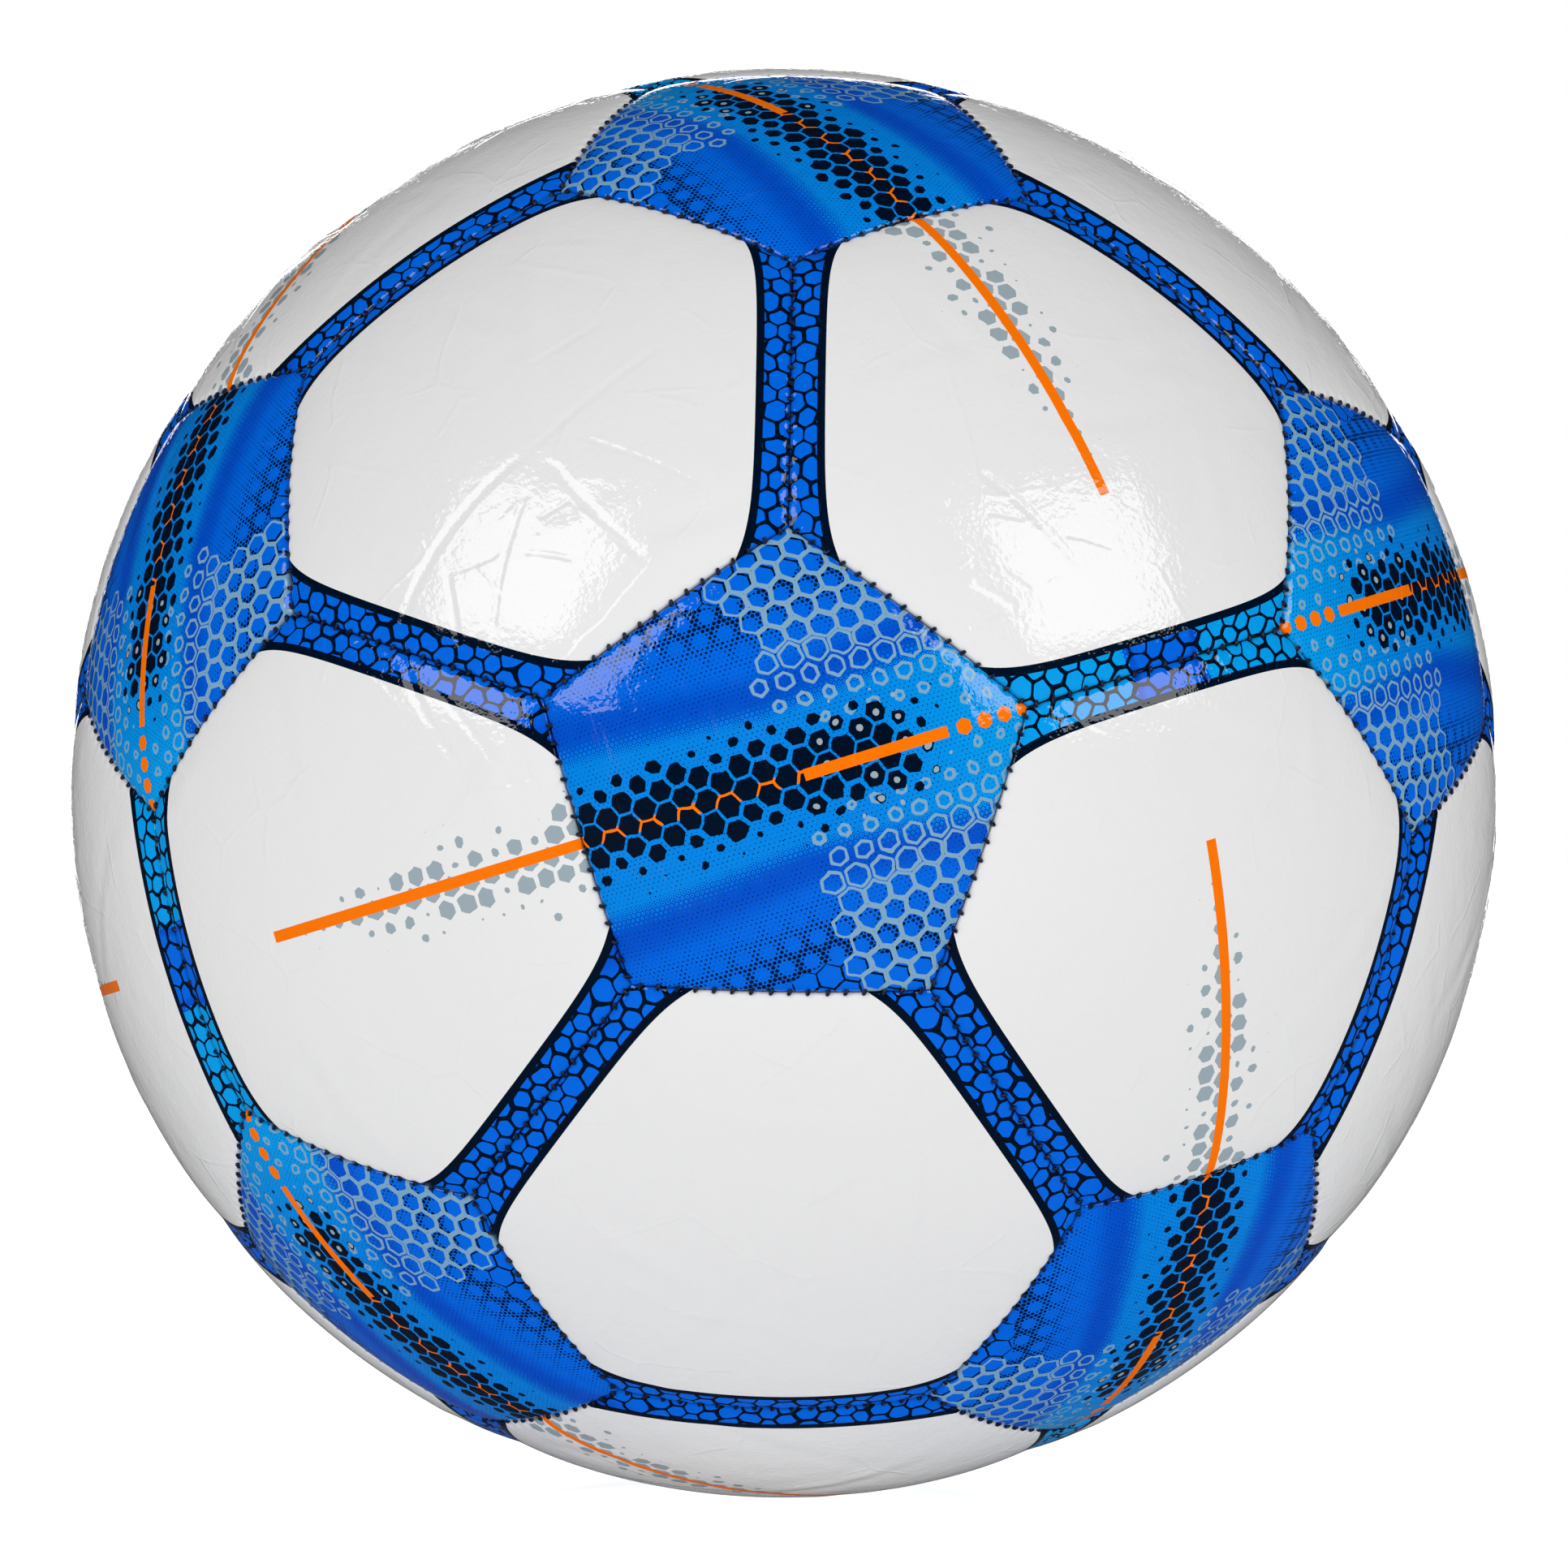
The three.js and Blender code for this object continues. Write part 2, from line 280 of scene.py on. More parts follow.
def stitch_dimples(panel, directions, distances, draw):
    """How far the film is pulled in round each stitch hole."""
    drop = np.zeros(len(directions))
    for side, count in enumerate(panel["stitches"]):
        a = panel["corners"][side]
        b = panel["corners"][(side + 1) % len(panel["corners"])]
        along_axis = unit(b - (b @ a) * a)
        sweep = math.acos(a @ b)
        along = np.arctan2(directions @ along_axis, directions @ a) / sweep * count
        near = (distances[:, side] < 4) & (along > 0) & (along < count)
        pull = draw.uniform(0.75, 1.2, count)
        index = np.clip(along.astype(int), 0, count - 1)
        offset = (along - index - 0.5) * CROWN * sweep / count
        shape = np.exp(-((offset / DIMPLE_ALONG) ** 2) - (distances[:, side] / DIMPLE_INWARD) ** 2)
        drop += np.where(near, DIMPLE_DEPTH * pull[index] * shape, 0)
    return drop


print("film at the seam lies", round(ROLL_DEPTH + sum(d for d, _ in SWELL), 2), "mm below the crown")

# %% [markdown]
# ## Creases in the film
#
# The film is stiffer than the foam under it. Where a flat sheet is pulled over a round bladder it
# gives in long, soft waves that start near a seam and run in towards the middle. Each one is a low
# ridge along a slightly bent line, drawn from the panel's own seeded numbers. They are wider than
# the rings of the mesh are far apart; the sharp folds are finer, and come with the film's surface.

# %% Crease lines
CREASES = {"pentagon": 3, "hexagon": 8}
CREASE_HEIGHT, CREASE_WIDTH = 0.09, 1.9
CREASE_LENGTHS = (14, 38)


def crease_rise(panel, directions, draw):
    flat = flat_place(panel, directions)
    rise = np.zeros(len(directions))
    for _ in range(CREASES[panel["kind"]]):
        corner = panel["corners"][draw.integers(len(panel["corners"]))]
        start = np.array([corner @ panel["x"], corner @ panel["y"]]) * CROWN
        start = start * draw.uniform(0.6, 0.95) + draw.normal(0, 6, 2)
        heading = math.atan2(*-start[::-1]) + draw.normal(0, 0.55)
        axis = np.array([math.cos(heading), math.sin(heading)])
        length = draw.uniform(*CREASE_LENGTHS)
        bend = draw.normal(0, 0.006)
        rel = flat - start
        along = rel @ axis
        aside = (rel @ np.array([-axis[1], axis[0]]) - bend * along**2) / CREASE_WIDTH
        ridge = np.exp(-(aside**2)) - 0.6 * np.exp(-((aside - 1.8) ** 2))
        ends = np.exp(-(((along - length / 2) / (length / 2.2)) ** 4))
        rise += CREASE_HEIGHT * draw.uniform(0.4, 1.2) * draw.choice([-1, 1]) * ridge * ends
    return rise


print("creases per panel:", CREASES)

# %% [markdown]
# ## A panel as a mesh
#
# A grid laid over a hexagon would meet its edges at odd angles. Rings that follow the outline
# don't: the outermost rings have four points to each stitch, so that the dimples are round, and
# the count halves twice on the way in, where the rings are shorter. The ring then goes down the
# turned-in edge and back across the cloth side, so that the panel is one closed body as thick as
# the real laminate.

# %% Rings of a panel
LAMINATE, FLANGE = 2.6, 2.4
FINE_RINGS = [EDGE_GAP + ROLL_WIDTH * (1 - math.cos(math.radians(a))) for a in (0, 20, 40, 60, 90)]
FINE_RINGS += [1.4, 1.9, 2.5]
MEDIUM_RINGS = [3.3 + 1.05 * step for step in range(20)]
COARSE_STEP = 1.1


def outline(panel, per_stitch):
    """Points round the seam, in the panel's flat plane, evenly spaced along each side."""
    points = []
    sides = len(panel["corners"])
    for side in range(sides):
        a, b = panel["corners"][side], panel["corners"][(side + 1) % sides]
        sweep = math.acos(a @ b)
        t = np.arange(panel["stitches"][side] * per_stitch) / (panel["stitches"][side] * per_stitch)
        arc = (np.outer(np.sin((1 - t) * sweep), a) + np.outer(np.sin(t * sweep), b)) / math.sin(sweep)
        flat = np.stack([arc @ panel["x"], arc @ panel["y"]], axis=1)
        points.append(flat / (arc @ panel["centre"])[:, None])
    return np.concatenate(points)


def inradius(panel):
    return float(np.mean(np.arcsin(panel["normals"] @ panel["centre"])))


def ring_directions(panel, inset, per_stitch):
    """Directions round the panel at that distance inside its seams; rounder towards the middle."""
    full = inradius(panel)
    share = math.tan(full - inset / CROWN) / math.tan(full)
    edge = outline(panel, per_stitch)
    roundness = 1 - np.clip((share - 0.3) / 0.45, 0, 1)
    circle = unit(edge) * math.tan(full)
    flat = share * ((1 - roundness) * edge + roundness * circle)
    return unit(panel["centre"] + flat[:, :1] * panel["x"] + flat[:, 1:] * panel["y"])


def strip(first, first_count, second, second_count):
    """Faces between two rings, the second of which has as many points or half as many."""
    faces = []
    if first_count == second_count:
        for i in range(first_count):
            j = (i + 1) % first_count
            faces.append((second + i, first + i, first + j, second + j))
        return faces
    for i in range(second_count):
        a, b, c = first + 2 * i, first + 2 * i + 1, first + (2 * i + 2) % first_count
        p, q = second + i, second + (i + 1) % second_count
        faces += [(p, a, b), (p, b, q), (q, b, c)]
    return faces


print("rings from the seam in, mm:", [round(r, 2) for r in FINE_RINGS])

# %% [markdown]
# The valve's hexagon is pierced in the middle. Its rings stop at the hole, turn down its wall and
# come back under the film; all other panels close with one small face.

# %% Build a panel mesh
VALVE_HOLE = 5.7
MIDDLE_FACE = 1.2  # radius of the small face that closes a panel's middle
WHITE_CORNER = 12.0  # rounding of the white window's corners
BLUE_BORDER = 5.0  # blue left along a seam to another hexagon
PAST_PENTAGON = 3.0  # the window would run on this far past a seam to a pentagon


def window_distance(panel, distances):
    """How far a point lies inside the white window, in mm; negative on the blue border."""
    if panel["kind"] == "pentagon":
        return np.full(len(distances), -50.0)
    border = [BLUE_BORDER if hex_seam else -PAST_PENTAGON for hex_seam in panel["hex_seam"]]
    return smooth_least(distances - np.array(border), WHITE_CORNER / 3)


def ring_plan(panel):
    """The panel's rings, outside first, as (inset, points per stitch)."""
    reach = inradius(panel) * CROWN
    stop = reach - (VALVE_HOLE if panel is VALVE_PANEL else MIDDLE_FACE)
    medium = [r for r in MEDIUM_RINGS if r < stop - 6]
    count = round((stop - medium[-1]) / COARSE_STEP)
    coarse = np.linspace(medium[-1], stop, count + 1)[1:]
    return [(r, 4) for r in FINE_RINGS] + [(r, 2) for r in medium] + [(r, 1) for r in coarse]


def film_radius(panel, directions, draw_seed):
    distances = seam_distances(panel, directions)
    drop = roll_drop(smooth_least(distances, 0.25)) + swell_drop(smooth_least(distances, 1.6))
    drop += stitch_dimples(panel, directions, distances, np.random.default_rng(draw_seed))
    rise = crease_rise(panel, directions, np.random.default_rng(draw_seed + 1000))
    fade = np.clip((distances.min(axis=1) - 1.0) / 3, 0, 1)
    return CROWN - drop + rise * fade


def panel_rows(panel, seed):
    """(points in mm, count, part) for every ring, from the film's middle round to the cloth's."""
    rows = []
    plan = ring_plan(panel)
    back = CROWN - LAMINATE
    flange_end = back - FLANGE
    for inset, per_stitch in reversed(plan):
        d = ring_directions(panel, inset, per_stitch)
        rows.append((d * film_radius(panel, d, seed)[:, None], len(d), "film"))
    for radius, per_stitch in ((back + 0.2, 2), (flange_end, 1)):
        d = ring_directions(panel, EDGE_GAP, per_stitch)
        rows.append((d * radius, len(d), "film"))
    inner = [(2.6, flange_end), (2.8, back - 0.5), (6, back - 0.15)]
    inner += [(14, back), (24, back), (plan[-1][0], back)]
    for inset, radius in inner:
        d = ring_directions(panel, inset, 1)
        rows.append((d * radius, len(d), "cloth"))
    return rows


def panel_faces(rows, open_middle):
    faces, parts, starts = [], [], np.cumsum([0] + [count for _, count, _ in rows])
    for k in range(len(rows) - 1):
        (_, n, _), (_, m, part) = rows[k], rows[k + 1]
        a, b = int(starts[k]), int(starts[k + 1])
        if m >= n:
            new = strip(b, m, a, n)
        else:
            new = [tuple(reversed(f)) for f in strip(a, n, b, m)]
        faces += new
        parts += [part] * len(new)
    first, last = rows[0][1], rows[-1][1]
    top, bottom = 0, int(starts[-2])
    if open_middle:
        wall = strip(top, first, bottom, last)
        return faces + wall, parts + ["film"] * len(wall)
    faces += [tuple(range(first)), tuple(bottom + i for i in reversed(range(last)))]
    return faces, parts + ["film", "cloth"]


print("rings of the first pentagon and the last hexagon:", [len(ring_plan(PANELS[i])) for i in (0, -1)])

# %% [markdown]
# ## What the mesh tells the print
#
# The print has to line up with the panel it lies on. A picture would need unwrapping; instead each
# point of the mesh carries its own measures in millimetres, and the materials read them: its place
# in the panel's plane, its distance from the seam, and how far it lies inside the white window.

# %% Attach measures and build the objects
# On the flat map: where a panel's two sides lie, and how far they reach.
FILM_SPOT, FILM_SPREAD = 0.4, 0.36
CLOTH_SPOT, CLOTH_SPREAD = 0.88, 0.1


def add_measure(mesh, name, kind, values):
    layer = mesh.attributes.new(name, kind, "POINT")
    values = np.asarray(values, np.float32).ravel()
    layer.data.foreach_set("vector" if kind == "FLOAT_VECTOR" else "value", values)


def add_bake_map(mesh, panel, rows):
    """Lays the film out flat from the middle, and the cloth side small beside it."""
    place = []
    edge = outline(panel, 1)
    size = np.abs(edge).max() * 1.2
    path, cloth_rings = 0.0, 0
    last = rows[0][0][0]
    for points, count, part in rows:
        flat = outline(panel, round(count / len(edge)))
        if part == "film":
            path += np.linalg.norm(points[0] - last)
            last = points[0]
            reach = (path + MIDDLE_FACE) / (inradius(panel) * CROWN)
            place.append(FILM_SPOT + flat * reach / size * FILM_SPREAD)
        else:
            cloth_rings += 1
            place.append(CLOTH_SPOT + flat * (1.1 - cloth_rings * 0.15) / size * CLOTH_SPREAD)
    coords = np.concatenate(place)
    layer = mesh.uv_layers.new(name="OFBake")
    corners = np.zeros(len(mesh.loops), np.int32)
    mesh.loops.foreach_get("vertex_index", corners)
    layer.data.foreach_set("uv", coords[corners].astype(np.float32).ravel())


def new_piece(name, points, faces, node, materials=()):
    """A smooth mesh piece, points in mm, that stands for a node of the frame."""
    mesh = bpy.data.meshes.new(name)
    mesh.from_pydata((np.asarray(points) * MM).tolist(), [], faces)
    mesh.polygons.foreach_set("use_smooth", [True] * len(faces))
    for material in materials:
        mesh.materials.append(material)
    piece = bpy.data.objects.new(name, mesh)
    bpy.context.scene.collection.objects.link(piece)
    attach(piece, "root")
    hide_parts(node)
    return piece


def build_panel(panel, seed):
    rows = panel_rows(panel, seed)
    points = np.concatenate([r[0] for r in rows])
    faces, parts = panel_faces(rows, panel is VALVE_PANEL)
    name = panel["node"].replace("panel", "cover")
    piece = new_piece(name, points, faces, panel["node"])
    mesh = piece.data
    directions = unit(points)
    distances = seam_distances(panel, directions)
    flat = np.pad(flat_place(panel, directions), ((0, 0), (0, 1)))
    add_measure(mesh, "place_mm", "FLOAT_VECTOR", flat)
    add_measure(mesh, "seam_mm", "FLOAT", distances.min(axis=1))
    add_measure(mesh, "window_mm", "FLOAT", window_distance(panel, distances))
    add_measure(mesh, "panel", "FLOAT", np.full(len(points), seed))
    mesh.polygons.foreach_set("material_index", [0 if p == "film" else 1 for p in parts])
    add_bake_map(mesh, panel, rows)
    mesh.validate()
    panel["piece"] = piece
    return len(points)


total = sum(build_panel(panel, seed) for seed, panel in enumerate(PANELS))
print("points in the cover:", total)

# %% [markdown]
# ## How each point lies to a stripe
#
# The light blue band follows the stripe off the pentagon and over the borders around it. That is
# two more measures for the mesh: how far a point lies along the nearest pentagon's stripe and how
# far across from it. The second is let out to a large value before another pentagon comes nearer,
# so that nothing jumps.

# %% Along and across the nearest stripe
FAR = 30.0
REACH_OF_PENTAGON = (52.0, 60.0)  # from its centre; half the way to the next one is 61


def stripe_measures(directions):
    nearest = np.argmax(directions @ CENTRES.T, axis=1)
    along, across = np.zeros(len(directions)), np.zeros(len(directions))
    for i in np.unique(nearest):
        panel, here = PANELS[i], nearest == i
        d = directions[here]
        ahead = d @ panel["x"]
        along[here] = np.arcsin(ahead) * CROWN
        aside = np.abs(np.arctan2(d @ panel["y"], np.abs(ahead) + d @ panel["centre"]) * CROWN)
        away = np.arccos(np.clip(d @ panel["centre"], -1, 1)) * CROWN
        near, far = REACH_OF_PENTAGON
        fade = np.clip((away - near) / (far - near), 0, 1)
        across[here] = aside + (FAR - aside) * fade
    return along, np.clip(across, 0, FAR)


for panel in PANELS:
    mesh = panel["piece"].data
    points = np.zeros(len(mesh.vertices) * 3)
    mesh.vertices.foreach_get("co", points)
    along, across = stripe_measures(unit(points.reshape(-1, 3)))
    add_measure(mesh, "along_mm", "FLOAT", along)
    add_measure(mesh, "across_mm", "FLOAT", across)
measures = [attribute.name for attribute in PANELS[0]["piece"].data.attributes]
print("measures on a panel:", [name for name in measures if name.endswith("_mm")])

# %% [markdown]
# ## Putting nodes together
#
# Materials are built from nodes in code, so small helpers come first: one adds a node and wires
# its inputs, others do sums, noise and blends with it, and the last start and finish a node group
# with named sockets.

# %% Node helpers
def put(tree, kind, inputs=None, **settings):
    """Adds a node; an input given as a socket is linked, any other value is set on it."""
    node = tree.nodes.new("ShaderNode" + kind)
    for name, value in settings.items():
        setattr(node, name, value)
    for key, value in (inputs or {}).items():
        if isinstance(value, bpy.types.NodeSocket):
            tree.links.new(value, node.inputs[key])
        else:
            node.inputs[key].default_value = value
    return node


def maths(tree, operation, *values):
    return put(tree, "Math", dict(enumerate(values)), operation=operation).outputs[0]


def times(tree, first, *others):
    for other in others:
        first = maths(tree, "MULTIPLY", first, other)
    return first


def below(tree, value, limit):
    return maths(tree, "LESS_THAN", value, limit)


def above(tree, value, limit):
    return maths(tree, "GREATER_THAN", value, limit)


def vectors(tree, operation, *values):
    return put(tree, "VectorMath", dict(enumerate(values)), operation=operation).outputs[0]


def length(tree, value):
    return put(tree, "VectorMath", {0: value}, operation="LENGTH").outputs["Value"]


def ramp(tree, value, low, high, to_low=0.0, to_high=1.0):
    """to_low where value is at low, to_high where it is at high, and a smooth change between."""
    inputs = {"Value": value, "From Min": low, "From Max": high, "To Min": to_low, "To Max": to_high}
    return put(tree, "MapRange", inputs, interpolation_type="SMOOTHSTEP").outputs["Result"]


def split(tree, vector):
    return put(tree, "SeparateXYZ", {0: vector}).outputs


def blend(tree, share, first, second):
    """A colour: first where share is 0, second where it is 1."""
    return put(tree, "Mix", {0: share, 6: first, 7: second}, data_type="RGBA").outputs[2]


def noise(tree, place, scale, detail=2.0, output="Fac", **more):
    inputs = {"Vector": place, "Scale": scale, "Detail": detail, **more}
    return put(tree, "TexNoise", inputs).outputs[output]


def pushed(tree, place, scale, far, detail=2.0):
    """The place moved along and across by noise, by up to far."""
    drift = noise(tree, place, scale, detail, "Color")
    return vectors(tree, "MULTIPLY_ADD", drift, (far, far, 0.0), place)


def start_group(name, inputs, outputs):
    tree = bpy.data.node_groups.new(name, "ShaderNodeTree")
    for way, sockets in (("INPUT", inputs), ("OUTPUT", outputs)):
        for socket, kind in sockets.items():
            tree.interface.new_socket(socket, in_out=way, socket_type="NodeSocket" + kind)
    return tree, tree.nodes.new("NodeGroupInput").outputs, tree.nodes.new("NodeGroupOutput")


def give(tree, out, results):
    """Hands a group's results out and gives back the finished group."""
    for name, socket in results.items():
        tree.links.new(socket, out.inputs[name])
    return tree


def use_group(tree, group, inputs):
    return put(tree, "Group", inputs, node_tree=group).outputs


def measure(tree, name, output="Fac"):
    return put(tree, "Attribute", attribute_name=name).outputs[output]


print("node helpers ready")

# %% [markdown]
# ## Hexagon cells
#
# Almost everything printed on the cover is drawn in a honeycomb: fine dots, rings, solid cells.
# A Voronoi texture could give cells, but not equal ones that know their own middle. Two plain
# rectangular grids, one shifted by half a step, make an exact honeycomb: the nearer of the two
# grid points is the cell's middle, and every dot or ring is then sized by where that middle is.

# %% Node group: honeycomb
def make_honeycomb():
    outputs = {"From Middle": "Float", "Round": "Float", "Middle": "Vector"}
    tree, given, out = start_group("honeycomb", {"Place": "Vector", "Pitch": "Float"}, outputs)
    place, pitch = given["Place"], given["Pitch"]
    tall = times(tree, pitch, math.sqrt(3))
    step = put(tree, "CombineXYZ", {0: pitch, 1: tall, 2: 1.0}).outputs[0]
    halves = {0: times(tree, pitch, 0.5), 1: times(tree, tall, 0.5), 2: 0.0}
    half = put(tree, "CombineXYZ", halves).outputs[0]
    first = vectors(tree, "SNAP", vectors(tree, "ADD", place, half), step)
    second = vectors(tree, "ADD", vectors(tree, "SNAP", place, step), half)
    from_first = length(tree, vectors(tree, "SUBTRACT", place, first))
    from_second = length(tree, vectors(tree, "SUBTRACT", place, second))
    nearer = {0: below(tree, from_second, from_first), 4: first, 5: second}
    middle = put(tree, "Mix", nearer, data_type="VECTOR").outputs[1]
    x, y, _ = split(tree, vectors(tree, "ABSOLUTE", vectors(tree, "SUBTRACT", place, middle)))
    slant = maths(tree, "MULTIPLY_ADD", y, math.sqrt(3) / 2, times(tree, x, 0.5))
    hexagonal = maths(tree, "MAXIMUM", x, slant)
    circular = maths(tree, "MINIMUM", from_first, from_second)
    return give(tree, out, {"From Middle": hexagonal, "Round": circular, "Middle": middle})


HONEYCOMB = make_honeycomb()


def cells(tree, place, pitch):
    """How far out of its cell a place is, as a hexagon and as a circle, and the cell's middle."""
    found = use_group(tree, HONEYCOMB, {"Place": place, "Pitch": pitch})
    return found["From Middle"], found["Round"], found["Middle"]


print("honeycomb sockets:", [s.name for s in HONEYCOMB.interface.items_tree])

# %% [markdown]
# ## The blue print
#
# The ink is a deep royal blue with a lighter band along the stripe. The edge of the band isn't
# blurred: it is a dot screen, light dots that shrink to nothing. Away from the band, navy dots
# gather into scales, and towards the seams they close into navy lines.

# %% Ink colours
ROYAL = (0.0, 0.135, 0.76, 1)
DEEP_ROYAL = (0.0, 0.08, 0.6, 1)
AZURE = (0.0, 0.23, 0.78, 1)
PALE_AZURE = (0.001, 0.34, 0.84, 1)
NAVY = (0.0, 0.005, 0.018, 1)
SILVER = (0.205, 0.385, 0.55, 1)
ORANGE = (1.0, 0.185, 0.0, 1)
PALE_GREY = (0.33, 0.405, 0.45, 1)
WHITE = (0.82, 0.82, 0.82, 1)
SCREEN_PITCH = 0.76
SCALE_PITCH = 5 * SCREEN_PITCH  # a whole number of dots, so that every scale has the same ones


# %% Node group: blue ground
def make_blue_ground():
    inputs = {"Place": "Vector", "Along": "Float", "Across": "Float"}
    tree, given, out = start_group("blue ground", inputs, {"Color": "Color"})
    _, from_dot, _ = cells(tree, given["Place"], SCREEN_PITCH)
    light_dot = below(tree, from_dot, ramp(tree, given["Across"], 7.0, 14.0, 0.47, 0.0))
    tone = blend(tree, ramp(tree, given["Across"], 13.0, 17.0), DEEP_ROYAL, ROYAL)
    light = blend(tree, ramp(tree, given["Along"], -40.0, -8.0, 1.0, 0.0), AZURE, PALE_AZURE)
    return give(tree, out, {"Color": blend(tree, light_dot, tone, light)})


BLUE_GROUND = make_blue_ground()


def blue_ground(tree, place):
    given = {"Place": place, "Along": measure(tree, "along_mm"), "Across": measure(tree, "across_mm")}
    return use_group(tree, BLUE_GROUND, given)["Color"]


# %% Node group: navy scales
def make_navy_scales():
    """How much navy lies on the blue, from dots in the open to lines near Strength 1."""
    inputs = {"Place": "Vector", "Strength": "Float"}
    tree, given, out = start_group("navy scales", inputs, {"Ink": "Float"})
    _, from_dot, dot = cells(tree, given["Place"], SCREEN_PITCH)
    dot_in_scale, _, _ = cells(tree, dot, SCALE_PITCH)
    inner = ramp(tree, given["Strength"], 0.0, 0.7, 0.62, 0.05)  # dots in a scale's middle go first
    near_edge = ramp(tree, dot_in_scale, 0.5, 1.7, inner, 1.0)
    size = times(tree, near_edge, ramp(tree, given["Strength"], 0.0, 0.8, 0.1, 0.33))
    dots = below(tree, from_dot, size)
    wobble = noise(tree, given["Place"], 1.3)
    in_scale, _, _ = cells(tree, given["Place"], SCALE_PITCH)
    edge = maths(tree, "ADD", in_scale, maths(tree, "MULTIPLY_ADD", wobble, 0.3, -0.15))
    lines = above(tree, edge, ramp(tree, given["Strength"], 0.72, 1.0, 2.05, 1.72))
    fade = below(tree, given["Strength"], 0.88)
    return give(tree, out, {"Ink": maths(tree, "MAXIMUM", times(tree, dots, fade), lines)})


NAVY_SCALES = make_navy_scales()
print("print groups:", BLUE_GROUND.name, NAVY_SCALES.name)

# %% [markdown]
# ## The film's own surface
#
# Under the ink is a polyurethane film on foam. It isn't perfectly smooth: the foam shows through
# as a faint unevenness and a fine peel, sharp little folds branch like the walls between bubbles,
# and handling leaves hazy patches and hairline scuffs that only show in the gloss. Along the seam's
# edge the colour is darkened in uneven patches: partly dust, partly painted shade where the film
# rolls into the groove. A Voronoi's walls are straight and meet in threes, as such folds do. Every
# panel's material needs all this, so it is one group.

# %% Node group: film surface
LITTLE_FOLDS_APART, LITTLE_FOLD_HALF = 21.0, 0.65  # from one to the next, and half its width


def make_film_surface():
    inputs = {"Place": "Vector", "Panel": "Float", "Seam": "Float"}
    outputs = {"Roughness": "Float", "Height": "Float", "Dust And Seam Shade": "Float"}
    tree, given, out = start_group("film surface", inputs, outputs)
    apart = put(tree, "CombineXYZ", {2: times(tree, given["Panel"], 90.0)}).outputs[0]
    place = vectors(tree, "ADD", given["Place"], apart)  # so that no two panels are marked alike
    haze = noise(tree, place, 0.06, 5.0, Roughness=0.6)
    stretched = vectors(tree, "MULTIPLY", place, (0.9, 0.055, 1.0))
    scratches = noise(tree, stretched, 1.0, 3.0, Distortion=0.6)
    scuff = times(tree, ramp(tree, scratches, 0.64, 0.72), ramp(tree, haze, 0.45, 0.62))
    rough = maths(tree, "ADD", ramp(tree, haze, 0.35, 0.7, 0.035, 0.085), times(tree, scuff, 0.2))
    foam = noise(tree, place, 0.16)
    peel = noise(tree, place, 1.15, 1.0)
    height = maths(tree, "MULTIPLY_ADD", foam, 0.16, times(tree, peel, 0.055))
    walls = {"Vector": pushed(tree, place, 0.05, 8.0), "Scale": 1 / LITTLE_FOLDS_APART}
    to_wall = put(tree, "TexVoronoi", walls, feature="DISTANCE_TO_EDGE").outputs["Distance"]
    at_wall = ramp(tree, to_wall, 0.0, LITTLE_FOLD_HALF / LITTLE_FOLDS_APART, 1.0, 0.0)
    fold = times(tree, at_wall, ramp(tree, noise(tree, place, 0.075, 1.0), 0.46, 0.58))
    height = maths(tree, "MULTIPLY_ADD", fold, 0.05, height)
    height = maths(tree, "MULTIPLY_ADD", scuff, -0.004, height)
    # Painted shade with some dust: the colour darkens unevenly within half a mm of the seam, where the
    # film rolls into the groove.
    dust_and_seam_shade_amount = ramp(tree, noise(tree, place, 0.4, 4.0), 0.3, 0.7, 0.12, 0.4)
    dust_and_seam_shade = times(tree, ramp(tree, given["Seam"], 0.05, 0.5, 1.0, 0.0), dust_and_seam_shade_amount)
    return give(tree, out, {"Roughness": rough, "Height": height, "Dust And Seam Shade": dust_and_seam_shade})


FILM_SURFACE = make_film_surface()
print("film surface gives:", [s.name for s in FILM_SURFACE.interface.items_tree if s.in_out == "OUTPUT"])

# %% [markdown]
# ## Finishing a material
#
# Every material ends in one Principled shader. The film's gloss is the shader's own reflection, not
# a clear coat, because a coat would stay smooth where the film under it is uneven.

# %% Material helpers
def new_material(name):
    material = bpy.data.materials.new(name)
    material.use_nodes = True
    tree = material.node_tree
    tree.nodes.clear()
    return material, tree


def scaled(tree, vector, scale):
    return put(tree, "VectorMath", {0: vector, "Scale": scale}, operation="SCALE").outputs[0]


def body_place(tree):
    """The place in the ball's own frame, in mm."""
    return scaled(tree, put(tree, "TexCoord").outputs["Object"], 1 / MM)


def finish_material(tree, color, roughness, height, bump_mm=1.0, **plain):
    bump = put(tree, "Bump", {"Height": height, "Distance": bump_mm * MM, "Strength": 1.0})
    inputs = {"Base Color": color, "Roughness": roughness, "Normal": bump.outputs[0]}
    shader = put(tree, "BsdfPrincipled", inputs)
    for socket, value in plain.items():
        shader.inputs[socket.replace("_", " ")].default_value = value
    put(tree, "OutputMaterial", {"Surface": shader.outputs[0]})


FILM_IOR = 1.6


def film_surface(tree):
    place = measure(tree, "place_mm", "Vector")
    given = {"Place": place, "Panel": measure(tree, "panel"), "Seam": measure(tree, "seam_mm")}
    return use_group(tree, FILM_SURFACE, given)


# Darkens a colour by the painted shade and dust at the seam.
def with_dust_and_seam_shade(tree, color, dust_and_seam_shade):
    return scaled(tree, color, maths(tree, "SUBTRACT", 1.0, dust_and_seam_shade))


# %% [markdown]
# ## The pentagon print
#
# In the panel's own plane the stripe runs along x, from one corner to the middle of the far edge.
# Black cells crowd along it and shrink away from it, silver rings lie on the corner side, and the
# orange stripe passes under the cells on one half and over them on the other.

